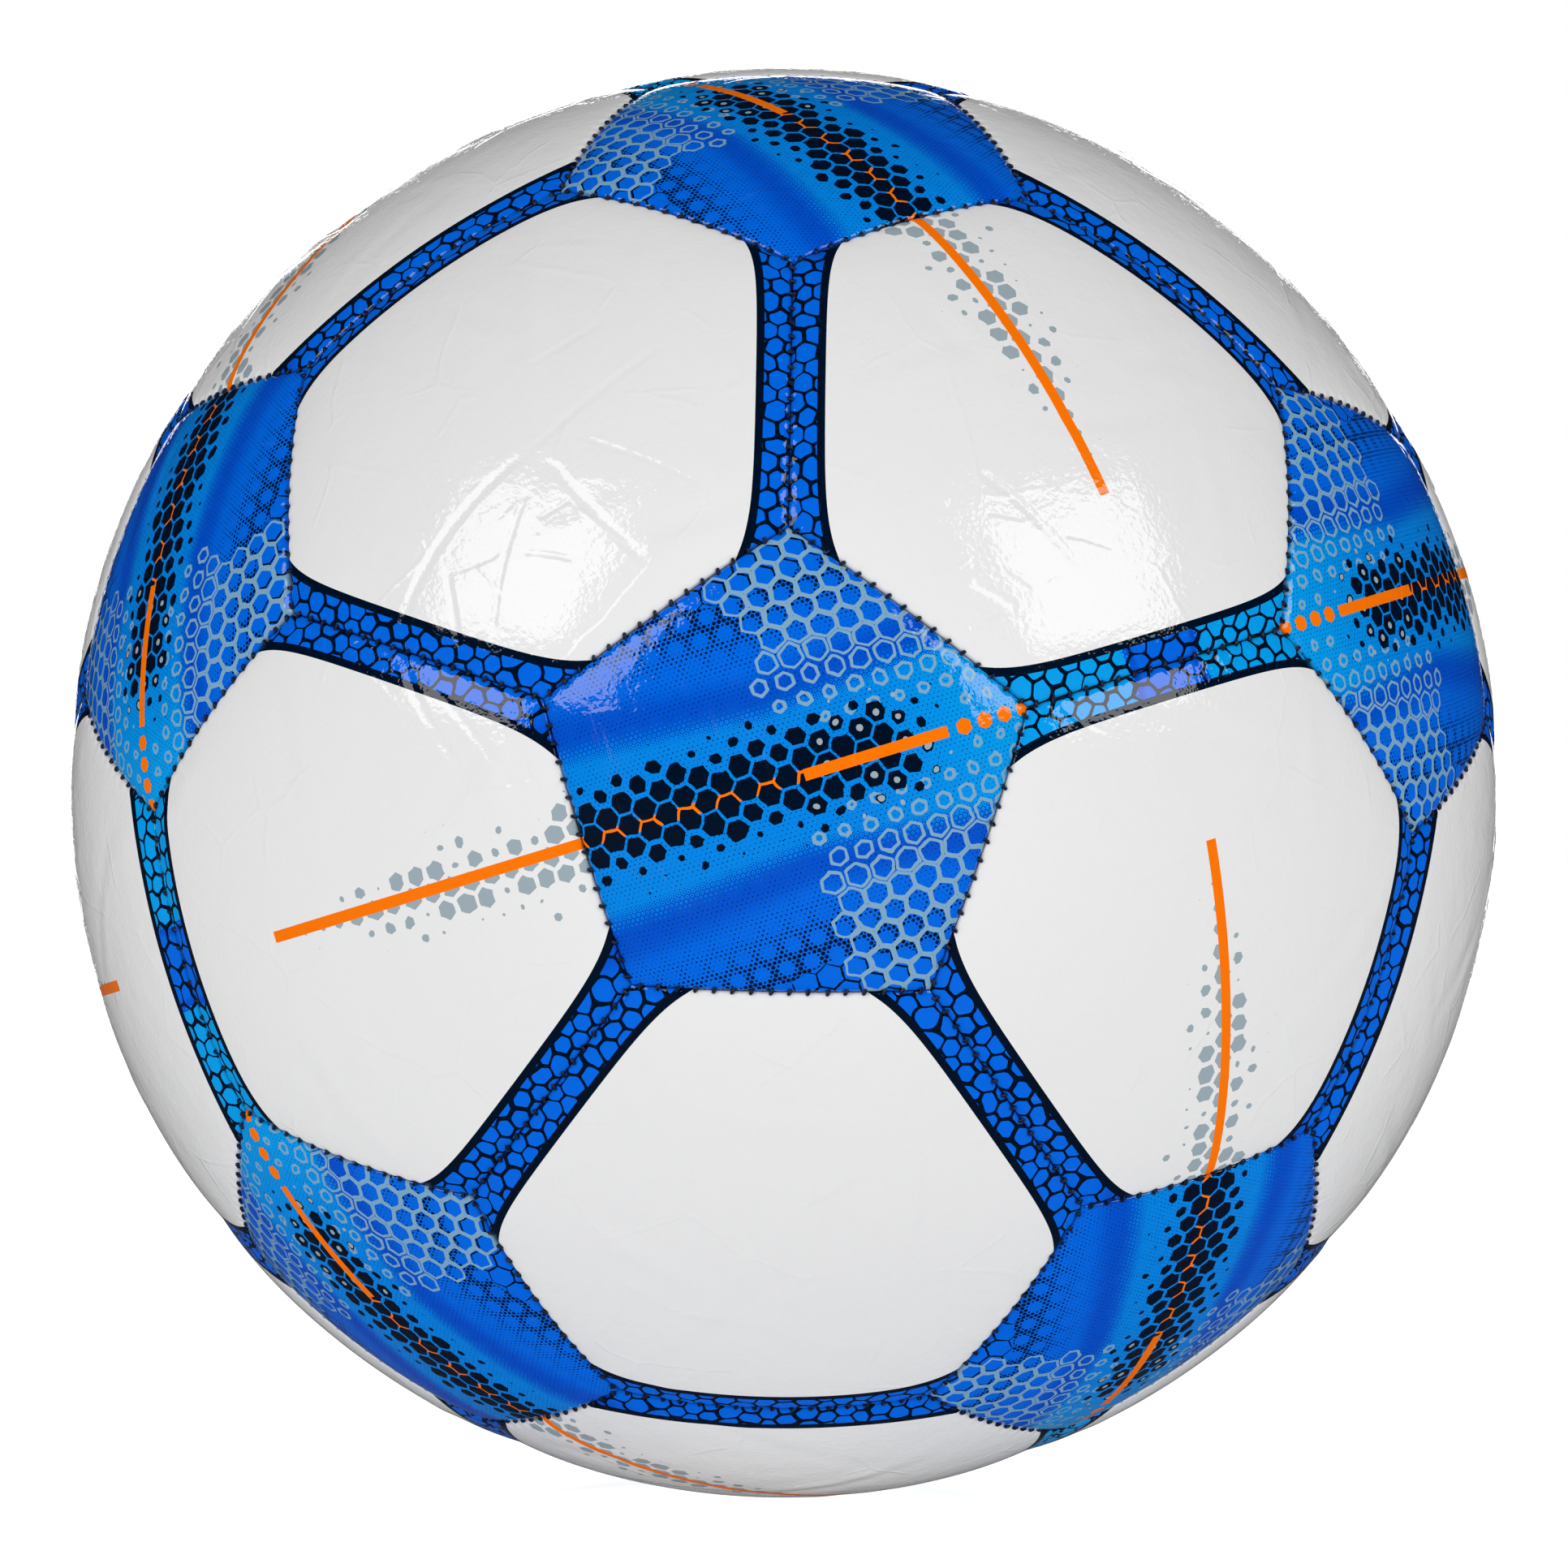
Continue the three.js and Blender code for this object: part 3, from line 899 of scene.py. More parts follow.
# %% Pentagon material
STRIPE_HALF = 0.85
STRIPE_START = -25.0  # near the corner where the stripe begins
CELL_PITCH = 3.45  # of the black, the grey and the first orange cells
CELL_DRIFT = 1.1


def turned(tree, place, degrees):
    inputs = {"Vector": place, "Angle": math.radians(degrees)}
    return put(tree, "VectorRotate", inputs, rotation_type="Z_AXIS").outputs[0]


def loosened(tree, place):
    """The place pushed about a little, so that cells drawn there look cut by hand."""
    return pushed(tree, place, 0.33, CELL_DRIFT, 1.0)


def chance_of(tree, cell, seed=0.0):
    moved = vectors(tree, "ADD", vectors(tree, "SNAP", cell, (0.01, 0.01, 1.0)), (seed, seed, 0.5))
    return put(tree, "TexWhiteNoise", {"Vector": moved}, noise_dimensions="3D").outputs["Value"]


def black_cells(tree, place):
    """Masks of the black cells along the stripe and of the pale specks in them near its start."""
    slanted = turned(tree, loosened(tree, place), 30)
    in_cell, from_middle, middle = cells(tree, slanted, CELL_PITCH)
    x, y, _ = split(tree, turned(tree, middle, -30))
    spread = maths(tree, "MULTIPLY_ADD", chance_of(tree, middle), 3.0, maths(tree, "ABSOLUTE", y))
    begun = ramp(tree, x, STRIPE_START - 2, STRIPE_START + 10)
    size = times(tree, ramp(tree, spread, 4.0, 12.5, 1.54, 0.0), begun)
    lucky = times(tree, ramp(tree, x, -12.0, 3.0, 0.75, 0.0), ramp(tree, spread, 2.0, 9.0, 0.3, 1.0))
    speck_size = times(tree, above(tree, lucky, chance_of(tree, middle, 3.0)), 0.5)
    return below(tree, in_cell, size), below(tree, from_middle, speck_size)


def first_cells(tree, place):
    """The few orange cells that lead up to the stripe."""
    in_cell, _, middle = cells(tree, place, CELL_PITCH)
    x, y, _ = split(tree, middle)
    ahead = below(tree, x, STRIPE_START - 1.5)
    in_line = below(tree, maths(tree, "ABSOLUTE", y), 1.0)
    return below(tree, in_cell, times(tree, ahead, in_line, 1.15))


def silver_rings(tree, place):
    in_cell, from_middle, middle = cells(tree, loosened(tree, place), SCALE_PITCH)
    x, y, _ = split(tree, middle)
    wander = noise(tree, middle, 0.09)
    away = maths(tree, "MULTIPLY_ADD", x, -0.16, maths(tree, "ABSOLUTE", y))
    rounded_cell = maths(tree, "MAXIMUM", in_cell, times(tree, from_middle, 0.9))
    outer = ramp(tree, away, 7.0, 21.0, 0.8, SCALE_PITCH / 2 + 0.03)
    inner = maths(tree, "SUBTRACT", outer, ramp(tree, away, 7.0, 21.0, 0.5, 0.42))
    ring = times(tree, below(tree, rounded_cell, outer), above(tree, rounded_cell, inner))
    field = maths(tree, "ADD", x, maths(tree, "MULTIPLY_ADD", wander, 26.0, -13.0))
    return times(tree, ring, below(tree, field, -1.0), above(tree, away, 7.5))


def stripe_mask(tree, place, start):
    x, y, _ = split(tree, place)
    inside = below(tree, maths(tree, "ABSOLUTE", y), STRIPE_HALF)
    return times(tree, inside, above(tree, x, start))


def pentagon_material():
    material, tree = new_material("printed film, pentagon")
    place = measure(tree, "place_mm", "Vector")
    color = blue_ground(tree, place)
    strength = ramp(tree, measure(tree, "across_mm"), 13.0, 30.0)
    scales = use_group(tree, NAVY_SCALES, {"Place": place, "Strength": strength})["Ink"]
    color = blend(tree, scales, color, NAVY)
    color = blend(tree, silver_rings(tree, place), color, SILVER)
    stripe = stripe_mask(tree, place, STRIPE_START)
    color = blend(tree, stripe, color, ORANGE)
    black, speck = black_cells(tree, place)
    x, _, _ = split(tree, place)
    stripe_on_top = times(tree, stripe, below(tree, x, -3.0))
    shown = times(tree, black, maths(tree, "SUBTRACT", 1.0, stripe_on_top))
    color = blend(tree, shown, color, NAVY)
    color = blend(tree, times(tree, speck, shown), color, PALE_GREY)
    color = blend(tree, first_cells(tree, place), color, ORANGE)
    film = film_surface(tree)
    # Painted shade and dust darken the film along the seam.
    color = with_dust_and_seam_shade(tree, color, film["Dust And Seam Shade"])
    finish_material(tree, color, film["Roughness"], film["Height"], IOR=FILM_IOR)
    return material


PENTAGON_FILM = pentagon_material()
print("nodes in", PENTAGON_FILM.name, len(PENTAGON_FILM.node_tree.nodes))

# %% [markdown]
# ## Pressed folds
#
# A new ball comes deflated and folded flat. Blown up, it keeps the lines where the film was pressed
# over: long shallow grooves, here and there on the hexagons, that catch the light. Their ends are
# given as they lie on the front of the ball, across and up from its middle, in mm. Noise wouldn't
# give such straight lines, so each is measured from its own line on the film.

# %% Where the folds lie
# across and up of both ends, how far it bows, half its width and its depth
FOLDS = [
    ((-18, 63), (-38, 46), 0.0, 1.1, 0.07),
    ((-37, 47), (-56, 20), -2.4, 1.4, 0.11),
    ((-35, 46), (-19, 30), -0.5, 1.3, 0.11),
    ((-31, 49), (-12, 42), 0.3, 0.8, 0.06),
    ((-37, 42), (-42, 19), -0.9, 1.0, 0.1),
    ((-41, 32), (-49, 29), 0.4, 0.8, 0.08),
    ((-49, 30), (-47, 18), 0.3, 1.0, 0.1),
    ((-38, 32), (-30, 31), 0.3, 0.8, 0.09),
    ((-31, 40), (-36, 37), 0.2, 0.8, 0.09),
    ((-38, 59), (-27, 66), 0.0, 1.0, 0.05),
    ((27, 45), (42, 31), 0.6, 1.3, 0.12),
    ((28, 39), (34, 38), 0.0, 0.8, 0.07),
    ((39, 36), (47, 34), 0.3, 0.8, 0.08),
    ((26, 29), (33, 25), 0.3, 1.1, 0.11),
    ((26, 22), (31, 25), 0.3, 1.1, 0.1),
    ((-55, 16), (-45, 0), -0.8, 1.2, 0.09),
    ((-51, 13), (-38, -2), 0.6, 1.0, 0.06),
]


def on_front(across, up):
    return np.array([across, -math.sqrt(CROWN**2 - across**2 - up**2), up])


def folds_by_panel():
    """For each panel's node, the folds on it; the back of the ball has the front's, turned over."""
    found = {panel["node"]: [] for panel in PANELS}
    for start, end, *shape in FOLDS:
        for way in (1, -1):
            a, b = way * on_front(*start), way * on_front(*end)
            nearest = max(PANELS, key=lambda p: p["centre"] @ (a + b))
            found[nearest["node"]].append((a, b, *shape))
    return found


FOLDS_ON = folds_by_panel()
print("folds on each folded panel:", [len(folds) for folds in FOLDS_ON.values() if folds])


# %% Node group: pressed fold
def make_pressed_fold():
    inputs = {name: "Vector" for name in ("Place", "Start", "Ahead", "Aside")}
    inputs |= {name: "Float" for name in ("Bow", "Width", "Depth")}
    tree, given, out = start_group("pressed fold", inputs, {"Height": "Float"})
    rel = vectors(tree, "SUBTRACT", given["Place"], given["Start"])
    dots = {}
    for name in ("Ahead", "Aside"):
        dot = put(tree, "VectorMath", {0: rel, 1: given[name]}, operation="DOT_PRODUCT")
        dots[name] = dot.outputs["Value"]
    arch = times(tree, dots["Ahead"], maths(tree, "SUBTRACT", 1.0, dots["Ahead"]))
    bow = times(tree, arch, 4.0, given["Bow"])
    off = maths(tree, "ABSOLUTE", maths(tree, "SUBTRACT", dots["Aside"], bow))
    across = ramp(tree, off, 0.0, given["Width"], 1.0, 0.0)
    ends = ramp(tree, arch, 0.0, 0.12)
    return give(tree, out, {"Height": times(tree, across, ends, given["Depth"], -1.0)})


PRESSED_FOLD = make_pressed_fold()


def pressed_folds(tree, height, folds):
    """The film's height with these folds pressed into it."""
    place = body_place(tree)
    for a, b, bow, width, depth in folds:
        given = {"Place": place, "Start": a.tolist(), "Ahead": ((b - a) / ((b - a) @ (b - a))).tolist()}
        given |= {"Aside": unit(np.cross(a, b - a)).tolist(), "Bow": bow, "Width": width, "Depth": depth}
        height = maths(tree, "ADD", height, use_group(tree, PRESSED_FOLD, given)["Height"])
    return height


print("a fold's sockets:", [s.name for s in PRESSED_FOLD.interface.items_tree])

# %% [markdown]
# ## The hexagon print
#
# A hexagon is mostly bare white film. Its border is navy with irregular blue cells, closed off by
# a plain navy key line round the white window. Twelve of the twenty also take the end of a
# stripe, with pale grey cells that thin out along it.

# %% Hexagon materials
KEY_LINE = 1.15
BORDER_PITCH = 3.5
STRIPE_END = -14.0  # the stripe stops this far past the hexagon's middle


def border_color(tree, place):
    """Blue cells of uneven shape and size on navy."""
    ground = blue_ground(tree, place)
    in_cell, from_middle, middle = cells(tree, pushed(tree, place, 0.16, 3.4, 1.0), BORDER_PITCH)
    rounded_cell = maths(tree, "MAXIMUM", in_cell, times(tree, from_middle, 0.92))
    size = maths(tree, "MULTIPLY_ADD", chance_of(tree, middle), -0.28, BORDER_PITCH / 2 - 0.13)
    return blend(tree, below(tree, rounded_cell, size), NAVY, ground)


def grey_cells(tree, place):
    in_cell, _, middle = cells(tree, loosened(tree, place), CELL_PITCH)
    x, y, _ = split(tree, middle)
    reach = ramp(tree, x, -12.0, 34.0, 3.0, 12.0)
    spread = maths(tree, "DIVIDE", maths(tree, "ABSOLUTE", y), reach)
    spread = maths(tree, "MULTIPLY_ADD", chance_of(tree, middle), 0.55, spread)
    size = times(tree, ramp(tree, spread, 0.35, 1.1, 1.4, 0.0), ramp(tree, x, -13.0, 8.0))
    return below(tree, in_cell, size)


def hexagon_material(striped, folds=()):
    name = "printed film, hexagon" + (" with stripe" if striped else "")
    material, tree = new_material(name + (f", {len(folds)} folds" if folds else ""))
    place = measure(tree, "place_mm", "Vector")
    window = measure(tree, "window_mm")
    color = WHITE
    if striped:
        color = blend(tree, grey_cells(tree, place), color, PALE_GREY)
    blue = below(tree, window, 0.0)
    color = blend(tree, blue, color, border_color(tree, place))
    key = maths(tree, "COMPARE", window, -KEY_LINE / 2, KEY_LINE / 2)
    color = blend(tree, key, color, NAVY)
    if striped:
        color = blend(tree, stripe_mask(tree, place, STRIPE_END), color, ORANGE)
    film = film_surface(tree)
    # Painted shade and dust darken the film along the seam.
    color = with_dust_and_seam_shade(tree, color, film["Dust And Seam Shade"])
    height = pressed_folds(tree, film["Height"], folds)
    finish_material(tree, color, film["Roughness"], height, IOR=FILM_IOR)
    return material


HEXAGON_FILM = {striped: hexagon_material(striped) for striped in (False, True)}
print("hexagon materials:", [m.name for m in HEXAGON_FILM.values()])

# %% [markdown]
# ## Cloth behind the film
#
# The inner side of the laminate is a plain-woven cotton and polyester cloth. The same weave, a
# little coarser, makes the reinforcing ring behind the valve, so the weave is a group too.

# %% Node group: plain weave
def make_weave():
    inputs = {"Place": "Vector", "Pitch": "Float"}
    tree, given, out = start_group("plain weave", inputs, {"Height": "Float", "Shade": "Float"})
    x, y, _ = split(tree, given["Place"])
    turn = maths(tree, "DIVIDE", math.pi, given["Pitch"])
    warp = maths(tree, "SINE", times(tree, x, turn))
    weft = maths(tree, "SINE", times(tree, y, turn))
    over = times(tree, warp, weft)
    threads = maths(tree, "MAXIMUM", maths(tree, "ABSOLUTE", warp), maths(tree, "ABSOLUTE", weft))
    fibre = noise(tree, given["Place"], 6.0, 3.0)
    fuzzy = maths(tree, "MULTIPLY_ADD", fibre, 0.3, times(tree, threads, 0.5))
    height = maths(tree, "MULTIPLY_ADD", over, 0.3, fuzzy)
    # Painted shade: the lower the weave lies, the darker the colour it gives.
    shade = maths(tree, "MULTIPLY_ADD", height, 0.6, 0.4)
    return give(tree, out, {"Height": height, "Shade": shade})


WEAVE = make_weave()


def cloth_material(name, color, pitch):
    material, tree = new_material(name)
    weave = use_group(tree, WEAVE, {"Place": measure(tree, "place_mm", "Vector"), "Pitch": pitch})
    # The weave's painted shade darkens the cloth between the threads.
    tint = blend(tree, weave["Shade"], tuple(0.55 * c for c in color[:3]) + (1,), color)
    stain = noise(tree, body_place(tree), 0.05, 4.0)
    tint = blend(tree, ramp(tree, stain, 0.5, 0.75, 0.0, 0.35), tint, (0.35, 0.3, 0.22, 1))
    rough = ramp(tree, weave["Height"], 0.0, 1.0, 0.95, 0.8)
    sheen = {"Sheen_Weight": 0.25, "Sheen_Roughness": 0.5}
    finish_material(tree, tint, rough, weave["Height"], bump_mm=0.12, **sheen)
    return material


BACKING_CLOTH = cloth_material("backing cloth", (0.72, 0.7, 0.64, 1), 0.7)


def film_of(panel):
    if panel["kind"] == "pentagon":
        return PENTAGON_FILM
    folds = FOLDS_ON[panel["node"]]
    return hexagon_material(panel["striped"], folds) if folds else HEXAGON_FILM[panel["striped"]]


for panel in PANELS:
    slots = panel["piece"].data.materials
    slots.append(film_of(panel))
    slots.append(BACKING_CLOTH)
print("panels dressed:", len(PANELS))

# %% [markdown]
# ## Thread
#
# The thread is a waxed polyester cord of a few plies, dyed navy. Its twist is far too fine to
# model, so each point carries how far round and along the cord it lies, and a slanted wave of the
# two becomes the plies, both as bumps and as painted shade that darkens the colour between them.
# The wax gives a soft shine and the dye is uneven.

# %% Thread material
PLY_PITCH = 0.9  # along the cord


def thread_material():
    material, tree = new_material("waxed thread")
    along = measure(tree, "along_mm")
    around = measure(tree, "around")
    phase = maths(tree, "MULTIPLY_ADD", along, math.tau / PLY_PITCH, times(tree, around, 3 * math.tau))
    ply = maths(tree, "MULTIPLY_ADD", maths(tree, "SINE", phase), 0.5, 0.5)
    dye = noise(tree, body_place(tree), 0.9, 3.0)
    color = blend(tree, dye, (0.012, 0.035, 0.13, 1), (0.045, 0.12, 0.34, 1))
    # Painted shade: the colour darkens in the grooves between the plies.
    color = blend(tree, times(tree, ply, 0.35), (0.001, 0.003, 0.012, 1), color)
    finish_material(tree, color, ramp(tree, dye, 0.3, 0.7, 0.26, 0.45), ply, bump_mm=0.05)
    return material


THREAD_MATERIAL = thread_material()
print("plies per stitch, about:", round(STITCH_PITCH / PLY_PITCH, 1))

# %% [markdown]
# ## Stitches
#
# Where two panels meet, the thread comes up through one, crosses the groove at a slant, and goes
# down through the other, then runs on underneath to the next pair of holes. Each of the 90 seams
# is one such run, made as a tube swept along its points. A curve with a bevel would do as well,
# but a swept mesh lets every point remember its place along the cord for the twist.

# %% One run of stitches along a seam
THREAD_RADIUS = 0.3
# One stitch: across the groove, on from the stitch's middle, and below the crown, in mm.
STITCH = [
    (-0.25, -0.30, 3.5),
    (-0.44, -0.22, 2.0),
    (-0.38, -0.18, 1.45),
    (-0.16, -0.08, 1.16),
    (0.16, 0.08, 1.16),
    (0.38, 0.18, 1.45),
    (0.44, 0.22, 2.0),
    (0.25, 0.30, 3.5),
]


def seams():
    """Each seam once, as its two corners and its number of stitches."""
    found = {}
    for panel in PANELS:
        for side, count in enumerate(panel["stitches"]):
            a, b = panel["corners"][side], panel["corners"][(side + 1) % len(panel["corners"])]
            key = tuple(np.round((a + b) * 1000).astype(int))
            found.setdefault(key, (a, b, count))
    return list(found.values())


def thread_run(a, b, count, draw):
    sweep = math.acos(a @ b)
    ahead = unit(b - (b @ a) * a)
    across = np.cross(a, ahead)
    pitch = CROWN * sweep / count
    points = []
    for j in range(count):
        lean = draw.normal(0, 0.07, 3)
        for aside, on, depth in STITCH:
            turn = ((j + 0.5) * pitch + on * (1 + lean[0]) + lean[1]) / CROWN
            out = math.cos(turn) * a + math.sin(turn) * ahead
            points.append((CROWN - depth) * out + (aside + lean[2] * 0.4) * across)
    return np.array(points)


def sweep_tube(points, radius, around):
    """Rings of points round a line, turned as little as possible from one ring to the next."""
    ahead = unit(np.gradient(points, axis=0))
    side = unit(np.cross(ahead[0], points[0]))
    rings = []
    for p, t in zip(points, ahead):
        side = unit(side - (side @ t) * t)
        other = np.cross(t, side)
        turns = [math.tau * k / around for k in range(around)]
        rings.append([p + radius * (math.cos(u) * side + math.sin(u) * other) for u in turns])
    return np.array(rings)


SEAMS = seams()
print("seams:", len(SEAMS), "stitches:", sum(count for _, _, count in SEAMS))

# %% All the stitches as one piece
TUBE_SIDES = 6
# On the flat map each run has a row: the tube's share of it, where in it the two ends go, and
# half their width and height.
TUBE_SHARE, END_PLACE = 0.85, 0.93
END_WIDE, END_TALL = 0.002, 0.0003


def build_stitches():
    draw = np.random.default_rng(7)
    points, faces, along, around, sheet_map = [], [], [], [], []
    for row, (a, b, count) in enumerate(SEAMS):
        line = thread_run(a, b, count, draw)
        rings = sweep_tube(line, THREAD_RADIUS, TUBE_SIDES)
        travelled = np.concatenate([[0], np.cumsum(np.linalg.norm(np.diff(line, axis=0), axis=1))])
        start = len(points)
        for ring, s in zip(rings, travelled):
            points += ring.tolist()
            along += [s] * TUBE_SIDES
            around += [k / TUBE_SIDES for k in range(TUBE_SIDES)]
        n = len(rings)
        for i in range(n - 1):
            for k in range(TUBE_SIDES):
                m = (k + 1) % TUBE_SIDES
                first, second = start + i * TUBE_SIDES, start + (i + 1) * TUBE_SIDES
                faces.append((first + k, first + m, second + m, second + k))
                u, v = i / n, (row + k / TUBE_SIDES * TUBE_SHARE) / len(SEAMS)
                step_u, step_v = 0.999 / n, TUBE_SHARE / TUBE_SIDES / len(SEAMS)
                sheet_map += [(u, v), (u, v + step_v), (u + step_u, v + step_v), (u + step_u, v)]
        for end, order in ((0, -1), (n - 1, 1)):
            faces.append(tuple(start + end * TUBE_SIDES + k for k in range(TUBE_SIDES))[::order])
            u, v = end / n + END_WIDE, (row + END_PLACE) / len(SEAMS)
            for k in range(TUBE_SIDES):
                turn = math.tau * k / TUBE_SIDES * order
                sheet_map.append((u + END_WIDE * math.cos(turn), v + END_TALL * math.sin(turn)))
    return points, faces, along, around, sheet_map


points, faces, along, around, sheet_map = build_stitches()
stitches = new_piece("stitches", points, faces, "seam_thread", [THREAD_MATERIAL])
add_measure(stitches.data, "along_mm", "FLOAT", along)
add_measure(stitches.data, "around", "FLOAT", around)
stitches.data.uv_layers.new(name="OFBake").data.foreach_set("uv", np.ravel(sheet_map).astype(np.float32))
print("stitches:", len(stitches.data.vertices), "points")

# %% [markdown]
# ## Rubber
#
# The bladder, the valve and its core are all moulded rubber, black butyl or tan silicone. Moulded
# rubber has a satin skin with flow marks, a fine grain from the mould, and talc that stays in the
# low spots so the parts don't stick. One group makes the three, each with its own colour.

# %% Node group: moulded rubber
def make_rubber_skin():
    inputs = {"Place": "Vector", "Grain": "Float"}
    outputs = {"Roughness": "Float", "Height": "Float", "Talc": "Float"}
    tree, given, out = start_group("moulded rubber", inputs, outputs)
    grain = noise(tree, given["Place"], given["Grain"], 4.0)
    flow = noise(tree, given["Place"], 0.12, 3.0, Distortion=1.5)
    cloud = noise(tree, given["Place"], 0.05, 5.0)
    talc = times(tree, ramp(tree, cloud, 0.42, 0.68), ramp(tree, grain, 0.7, 0.35, 0.2, 0.8))
    rough = maths(tree, "MULTIPLY_ADD", talc, 0.3, ramp(tree, flow, 0.3, 0.7, 0.42, 0.58))
    height = maths(tree, "MULTIPLY_ADD", grain, 0.5, times(tree, flow, 0.8))
    return give(tree, out, {"Roughness": rough, "Height": height, "Talc": talc})


RUBBER_SKIN = make_rubber_skin()


def rubber_material(name, color, talc_color, grain):
    material, tree = new_material(name)
    skin = use_group(tree, RUBBER_SKIN, {"Place": body_place(tree), "Grain": grain})
    tint = blend(tree, times(tree, skin["Talc"], 0.55), color, talc_color)
    finish_material(tree, tint, skin["Roughness"], skin["Height"], bump_mm=0.06)
    return material


BUTYL = rubber_material("black butyl", (0.012, 0.012, 0.013, 1), (0.2, 0.2, 0.19, 1), 2.5)
VALVE_RUBBER = rubber_material("valve rubber", (0.02, 0.021, 0.024, 1), (0.12, 0.12, 0.12, 1), 6.0)
CORE_RUBBER = rubber_material("core silicone", (0.5, 0.4, 0.24, 1), (0.7, 0.66, 0.56, 1), 5.0)
print("rubbers:", BUTYL.name, VALVE_RUBBER.name, CORE_RUBBER.name)

# %% [markdown]
# ## Round parts
#
# The valve parts are turned shapes. A lathe only needs half an outline: corners are given as
# radius, height and the size of their rounding, and the helper puts a small arc at each one,
# because a moulded rubber part has no sharp edge anywhere.

# %% Lathe helpers
LATHE_STEPS = 72
ARC_STEPS = 4


def rounded(outline_points):
    """A closed outline of (radius, height, rounding) corners as a list of plain points."""
    result = []
    n = len(outline_points)
    for i, (r, z, rounding) in enumerate(outline_points):
        here = np.array([r, z], float)
        before = np.array(outline_points[i - 1][:2]) - here
        after = np.array(outline_points[(i + 1) % n][:2]) - here
        reach = min(rounding, 0.45 * np.linalg.norm(before), 0.45 * np.linalg.norm(after))
        if reach < 0.01:
            result.append(here)
            continue
        start, end = here + unit(before) * reach, here + unit(after) * reach
        for t in np.linspace(0, 1, ARC_STEPS + 1):
            result.append((1 - t) ** 2 * start + 2 * t * (1 - t) * here + t * t * end)
    return result


def valve_frame():
    side = unit(np.cross(VALVE_AXIS, (0, 0, 1)))
    return side, np.cross(VALVE_AXIS, side)


VALVE_SIDE, VALVE_UP = valve_frame()


def turn_round_valve(profile):
    """A closed mesh: the profile, counter-clockwise, turned about the valve's axis."""
    points, rows, faces = [], [], []
    for r, z in profile:
        count = 1 if r < 0.001 else LATHE_STEPS
        rows.append((len(points), count))
        for k in range(count):
            turn = math.tau * k / LATHE_STEPS
            points.append(z * VALVE_AXIS + r * (math.cos(turn) * VALVE_SIDE + math.sin(turn) * VALVE_UP))
    for (a, n), (b, m) in zip(rows, rows[1:] + rows[:1]):
        if n == m == 1:
            continue
        for k in range(LATHE_STEPS):
            j = (k + 1) % LATHE_STEPS
            face = (a + k % n, a + j % n, b + j % m, b + k % m)
            faces.append(tuple(dict.fromkeys(face)))
    return points, faces


print("valve axis:", [round(float(v), 3) for v in VALVE_AXIS])

# %% [markdown]
# ## The valve
#
# The body is one moulding: a flat face that shows in its hole, a stem, a wide flange bonded to
# the bladder, and a tail that holds the core. The core is a soft plug that closes itself when the
# needle is pulled out. Their heights repeat the frame's.

# %% Valve body
GAP = 0.35  # left between pieces that touch
BACKING = CROWN - LAMINATE
PATCH_RADIUS, PATCH_THICKNESS = 18.0, 0.7
STEM_RADIUS = 5.2
GROOVE_IN, GROOVE_OUT, GROOVE_SLOPE, GROOVE_DEPTH = 2.85, 3.7, 0.25, 0.18  # pressed into the face
NEEDLE_HOLE, CORE_RADIUS, CORE_CHAMBER = 1.1, 2.2, 2.55
FLANGE_RADIUS, FLANGE_THICKNESS = 15.0, 1.0
TAIL_RADIUS, TAIL_LENGTH, LIP = 3.7, 10.0, 1.0
VALVE_FACE = CROWN - 0.5
CHAMBER_TOP = VALVE_FACE - 2.2
PATCH_TOP = BACKING - GAP
FLANGE_TOP = PATCH_TOP - PATCH_THICKNESS - GAP
FLANGE_BASE = FLANGE_TOP - FLANGE_THICKNESS
VALVE_BED = FLANGE_BASE - GAP
TAIL_END = VALVE_BED - TAIL_LENGTH


def on_sphere(radius, from_axis):
    return math.sqrt(radius**2 - from_axis**2)


def valve_body_outline():
    base = [(r, on_sphere(FLANGE_BASE, r), 0) for r in (7, 9, 11, 13)]
    top = [(r, on_sphere(FLANGE_TOP, r), 0) for r in (13, 11, 9, 7)]
    return [
        (NEEDLE_HOLE, CHAMBER_TOP, 0.1),
        (CORE_CHAMBER, CHAMBER_TOP, 0.3),
        (CORE_CHAMBER, TAIL_END + LIP, 0.2),
        (CORE_CHAMBER - LIP, TAIL_END + LIP, 0.2),
        (CORE_CHAMBER - LIP, TAIL_END, 0.3),
        (TAIL_RADIUS, TAIL_END, 0.6),
        (TAIL_RADIUS, on_sphere(FLANGE_BASE, TAIL_RADIUS), 0.8),
        *base,
        (FLANGE_RADIUS, on_sphere(FLANGE_BASE, FLANGE_RADIUS), 0.3),
        (FLANGE_RADIUS - 0.5, on_sphere(FLANGE_TOP, FLANGE_RADIUS - 0.5), 0.4),
        *top,
        (STEM_RADIUS, on_sphere(FLANGE_TOP, STEM_RADIUS), 0.6),
        (STEM_RADIUS, VALVE_FACE, 0.45),
        (GROOVE_OUT, VALVE_FACE, 0.1),
        (GROOVE_OUT - GROOVE_SLOPE, VALVE_FACE - GROOVE_DEPTH, 0.1),
        (GROOVE_IN + GROOVE_SLOPE, VALVE_FACE - GROOVE_DEPTH, 0.1),
        (GROOVE_IN, VALVE_FACE, 0.1),
        (NEEDLE_HOLE + 0.55, VALVE_FACE, 0.2),
        (NEEDLE_HOLE, VALVE_FACE - 0.55, 0.2),
    ]


points, faces = turn_round_valve(rounded(valve_body_outline()))
new_piece("valve", points, faces, "valve_body", [VALVE_RUBBER])
print("valve body:", len(points), "points, face", round(VALVE_FACE, 2), "mm from the ball's middle")

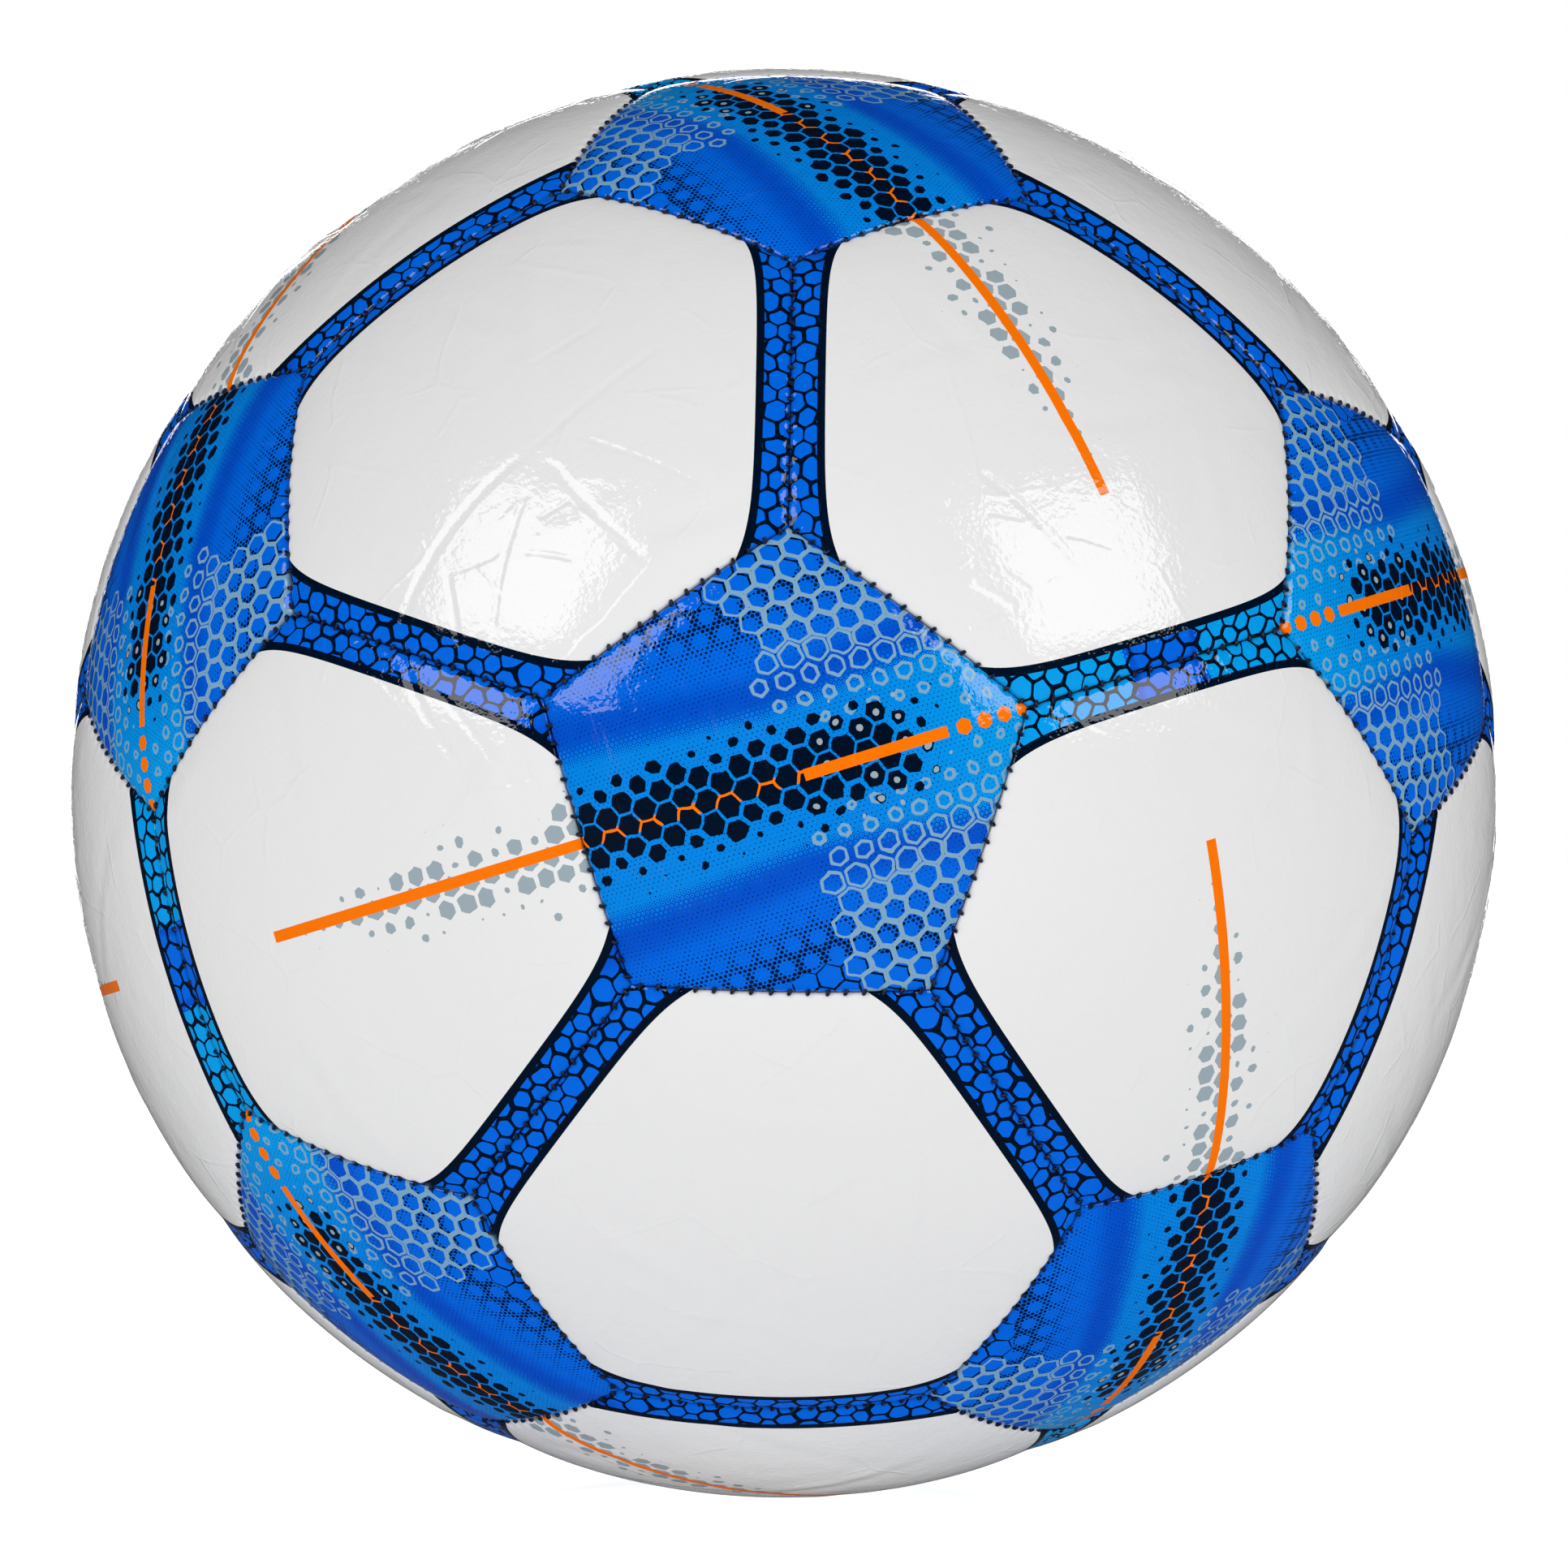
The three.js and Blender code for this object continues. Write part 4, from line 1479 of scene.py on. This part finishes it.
# %% Valve core
def valve_core_outline():
    top, shoulder = CHAMBER_TOP - GAP, TAIL_END + LIP + GAP
    tail = CORE_CHAMBER - LIP - GAP
    necks = []
    for z in np.linspace(shoulder + 2, top - 2, 4):
        for inward, up in ((0, -0.5), (0.15, -0.25), (0.15, 0.25), (0, 0.5)):
            necks.append((CORE_RADIUS - inward, z + up, 0.1))
    return [
        (0, TAIL_END - 1.5, 0),
        (tail, TAIL_END - 1.5, 0.4),
        (tail, shoulder, 0.1),
        (CORE_RADIUS, shoulder, 0.3),
        *necks,
        (CORE_RADIUS, top, 0.3),
        (0.8, top, 0.15),
        (0.3, top - 3, 0),
        (0, top - 6, 0),
    ]


points, faces = turn_round_valve(rounded(valve_core_outline()))
new_piece("needle_seal", points, faces, "valve_core", [CORE_RUBBER])
print("valve core:", len(points), "points")

# %% [markdown]
# ## The cloth patch behind the valve
#
# A disc of the backing cloth, cut by hand and bonded round the valve hole so that it doesn't tear.
# It follows the sphere, its rim wavers a little, and its weave is coarser than the backing's.

# %% Valve patch
PATCH_CLOTH = cloth_material("patch cloth", (0.66, 0.62, 0.52, 1), 0.95)


def build_patch():
    draw = np.random.default_rng(3)
    steps = LATHE_STEPS
    waver = np.convolve(np.tile(draw.normal(0, 0.12, steps), 3), np.ones(5) / 5, "same")[steps:2 * steps]
    between = np.linspace(7, PATCH_RADIUS - 0.4, 9)
    radii = [VALVE_HOLE, VALVE_HOLE + 0.4, *between, PATCH_RADIUS - 0.1]
    points, place = [], []
    for level, order in ((PATCH_TOP, radii), (PATCH_TOP - PATCH_THICKNESS, radii[::-1])):
        for r in order:
            for k in range(steps):
                turn = math.tau * k / steps
                here = r + np.clip(waver[k], -0.2, 0.0) * (r / PATCH_RADIUS) ** 8
                x, y = here * math.cos(turn), here * math.sin(turn)
                points.append(on_sphere(level, here) * VALVE_AXIS + x * VALVE_SIDE + y * VALVE_UP)
                place.append((x, y, 0))
    rows = 2 * len(radii)
    faces = []
    for i in range(rows):
        a, b = i * steps, (i + 1) % rows * steps
        faces += strip(b, steps, a, steps)
    piece = new_piece("valve_cloth", points, faces, "valve_patch", [PATCH_CLOTH])
    add_measure(piece.data, "place_mm", "FLOAT_VECTOR", place)
    return piece


patch = build_patch()
print("patch:", len(patch.data.vertices), "points")

# %% [markdown]
# ## The bladder
#
# Air presses the bladder out against the cloth of every panel, and the turned-in edges stand into
# it, so it is a sphere with a soft valley under each seam. It is made as one grid of rings round
# the valve's axis, outside and inside, joined at the neck. A parting line from its mould runs
# round the middle.

# %% Bladder
BLADDER_WALL, SEAM_VALLEY, VALLEY_REACH = 0.7, 3.4, 6.0
BLADDER_CROWN = BACKING - 0.4
NECK_RADIUS = TAIL_RADIUS + GAP
PARTING_RISE = 0.3


def seam_distance_anywhere(directions):
    """The distance from the seams of whichever panel a direction falls in."""
    return np.max([seam_distances(panel, directions).min(axis=1) for panel in PANELS], axis=0)


def bladder_radius(directions, from_axis):
    away = np.clip(seam_distance_anywhere(directions), 0, None)
    radius = BLADDER_CROWN - SEAM_VALLEY * np.exp(-((away / VALLEY_REACH) ** 2))
    bed = 1 - np.clip((from_axis - FLANGE_RADIUS - 1.5) / 6, 0, 1)
    bed = bed * bed * (3 - 2 * bed)
    return radius + (np.minimum(radius, VALVE_BED) - radius) * bed


def build_bladder():
    steps = 240
    neck = math.asin(NECK_RADIUS / VALVE_BED)
    line = 0.6 / CROWN
    half = math.pi / 2
    near_side = np.linspace(neck + 0.01, half - 0.01, 66)
    far_side = np.linspace(half + 0.02, math.pi - 0.02, 64)
    polar = [neck, *near_side, half - line, half, half + line, *far_side]
    turns = np.arange(steps) * math.tau / steps
    circle = np.outer(np.cos(turns), VALVE_SIDE) + np.outer(np.sin(turns), VALVE_UP)
    rings = []
    for p in polar:
        out = math.cos(p) * VALVE_AXIS + math.sin(p) * circle
        radius = bladder_radius(out, CROWN * p) + (PARTING_RISE if p == half else 0)
        rings.append(out * radius[:, None])
    outer = np.array(rings)
    scale = 1 - BLADDER_WALL / np.linalg.norm(outer, axis=2, keepdims=True)
    rows = np.concatenate([(outer * scale)[::-1], outer])
    points = rows.reshape(-1, 3).tolist()
    faces = []
    count = len(rows)
    for i in range(count - 1):
        a, b = i * steps, (i + 1) * steps
        faces += strip(b, steps, a, steps)
    faces.append(tuple(range(steps)))
    faces.append(tuple((count - 1) * steps + k for k in reversed(range(steps))))
    return new_piece("air_bladder", points, faces, "bladder", [BUTYL])


bladder = build_bladder()
print("bladder:", len(bladder.data.vertices), "points")

# %% [markdown]
# ## Floor, light and camera
#
# The ball stands on a plain pale floor under two large soft boxes, one to each side above the
# camera, in a white surround that is brighter in front and behind than at the sides. A third box
# behind lights only the far side. The lens is long and far back, so that the ball shows almost
# half of itself.

# %% Floor
FLOOR_SEEN, FLOOR_LIT = 0.78, 0.5  # the floor's own glow, to the eye and to the ball


def build_floor():
    rings = [0.0, 0.3, 0.6, 1.2, 2.5, 5.0, 12.0]
    low = min(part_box(node)[0].z for node in frame["nodes"])
    points = [(0, 0, low)]
    faces = []
    around = 96
    turns = [math.tau * i / around for i in range(around)]
    for r in rings[1:]:
        points += [(r * math.cos(turn), r * math.sin(turn), low) for turn in turns]
    faces += [(0, 1 + i, 1 + (i + 1) % around) for i in range(around)]
    for k in range(1, len(rings) - 1):
        a, b = 1 + (k - 1) * around, 1 + k * around
        faces += strip(b, around, a, around)
    mesh = bpy.data.meshes.new("floor")
    mesh.from_pydata(points, [], faces)
    floor = bpy.data.objects.new("floor", mesh)
    bpy.context.scene.collection.objects.link(floor)
    material, tree = new_material("pale floor")
    ray = put(tree, "LightPath").outputs
    glow = maths(tree, "MULTIPLY_ADD", ray["Is Camera Ray"], FLOOR_SEEN - FLOOR_LIT, FLOOR_LIT)
    glow = times(tree, glow, maths(tree, "SUBTRACT", 1.0, ray["Is Glossy Ray"]))
    paint = noise(tree, body_place(tree), 0.01)
    tint = blend(tree, paint, (0.62, 0.62, 0.62, 1), (0.64, 0.64, 0.64, 1))
    tint = blend(tree, ray["Is Glossy Ray"], tint, (0.03, 0.03, 0.03, 1))
    glowing = {"Emission Color": (1, 1, 1, 1), "Emission Strength": glow}
    shader = put(tree, "BsdfPrincipled", {"Base Color": tint, "Roughness": 0.9, **glowing})
    put(tree, "OutputMaterial", {"Surface": shader.outputs[0]})
    mesh.materials.append(material)


build_floor()

# %% Light
SURROUND_GLOSS = 0.008  # what the gloss mirrors: next to nothing, as in a studio with dark walls
SURROUND_LOW, SURROUND_RISE = 0.265, 0.98  # from the sides, and how much more from front and back


def build_surround():
    world = bpy.data.worlds.new("white surround")
    bpy.context.scene.world = world
    world.use_nodes = True
    tree = world.node_tree
    tree.nodes.clear()
    ray = put(tree, "LightPath").outputs
    _, y, _ = split(tree, put(tree, "TexCoord").outputs["Generated"])
    fill = maths(tree, "MULTIPLY_ADD", times(tree, y, y), SURROUND_RISE, SURROUND_LOW)
    fill = ramp(tree, ray["Is Glossy Ray"], 0.0, 1.0, fill, SURROUND_GLOSS)
    strength = ramp(tree, ray["Is Camera Ray"], 0.0, 1.0, fill, 1.0)
    background = put(tree, "Background", {"Color": (1, 1, 1, 1), "Strength": strength})
    put(tree, "OutputWorld", {"Surface": background.outputs[0]})


def soft_box(name, direction, distance, width, height, power):
    lamp = bpy.data.lights.new(name, "AREA")
    lamp.shape = "RECTANGLE"
    lamp.size, lamp.size_y, lamp.energy = width, height, power
    box = bpy.data.objects.new(name, lamp)
    place = unit(direction) * distance
    box.location = place.tolist()
    box.rotation_euler = box.location.to_track_quat("Z", "Y").to_euler()
    box.visible_camera = False
    bpy.context.scene.collection.objects.link(box)


build_surround()
soft_box("soft box, left", (-0.641, -0.648, 0.465), 1.3, 0.64, 0.6, 3.4)
soft_box("soft box, right", (0.702, -0.57, 0.474), 1.3, 0.64, 0.6, 3.4)
soft_box("soft box, behind", (0.0, 0.99, 0.12), 1.5, 0.8, 0.7, 5.0)
bpy.context.scene.view_settings.view_transform = "Standard"

# %% Camera
def build_camera():
    camera = bpy.data.cameras.new("camera")
    camera.lens = 200
    camera.sensor_width = 36
    camera.shift_y = -0.0016
    camera.clip_end = 50
    stand = bpy.data.objects.new("camera", camera)
    stand.location = (0, -12.2 * CROWN * MM, 0)
    stand.rotation_euler = (math.radians(90), math.radians(-0.96), 0)
    bpy.context.scene.collection.objects.link(stand)
    bpy.context.scene.camera = stand


build_camera()
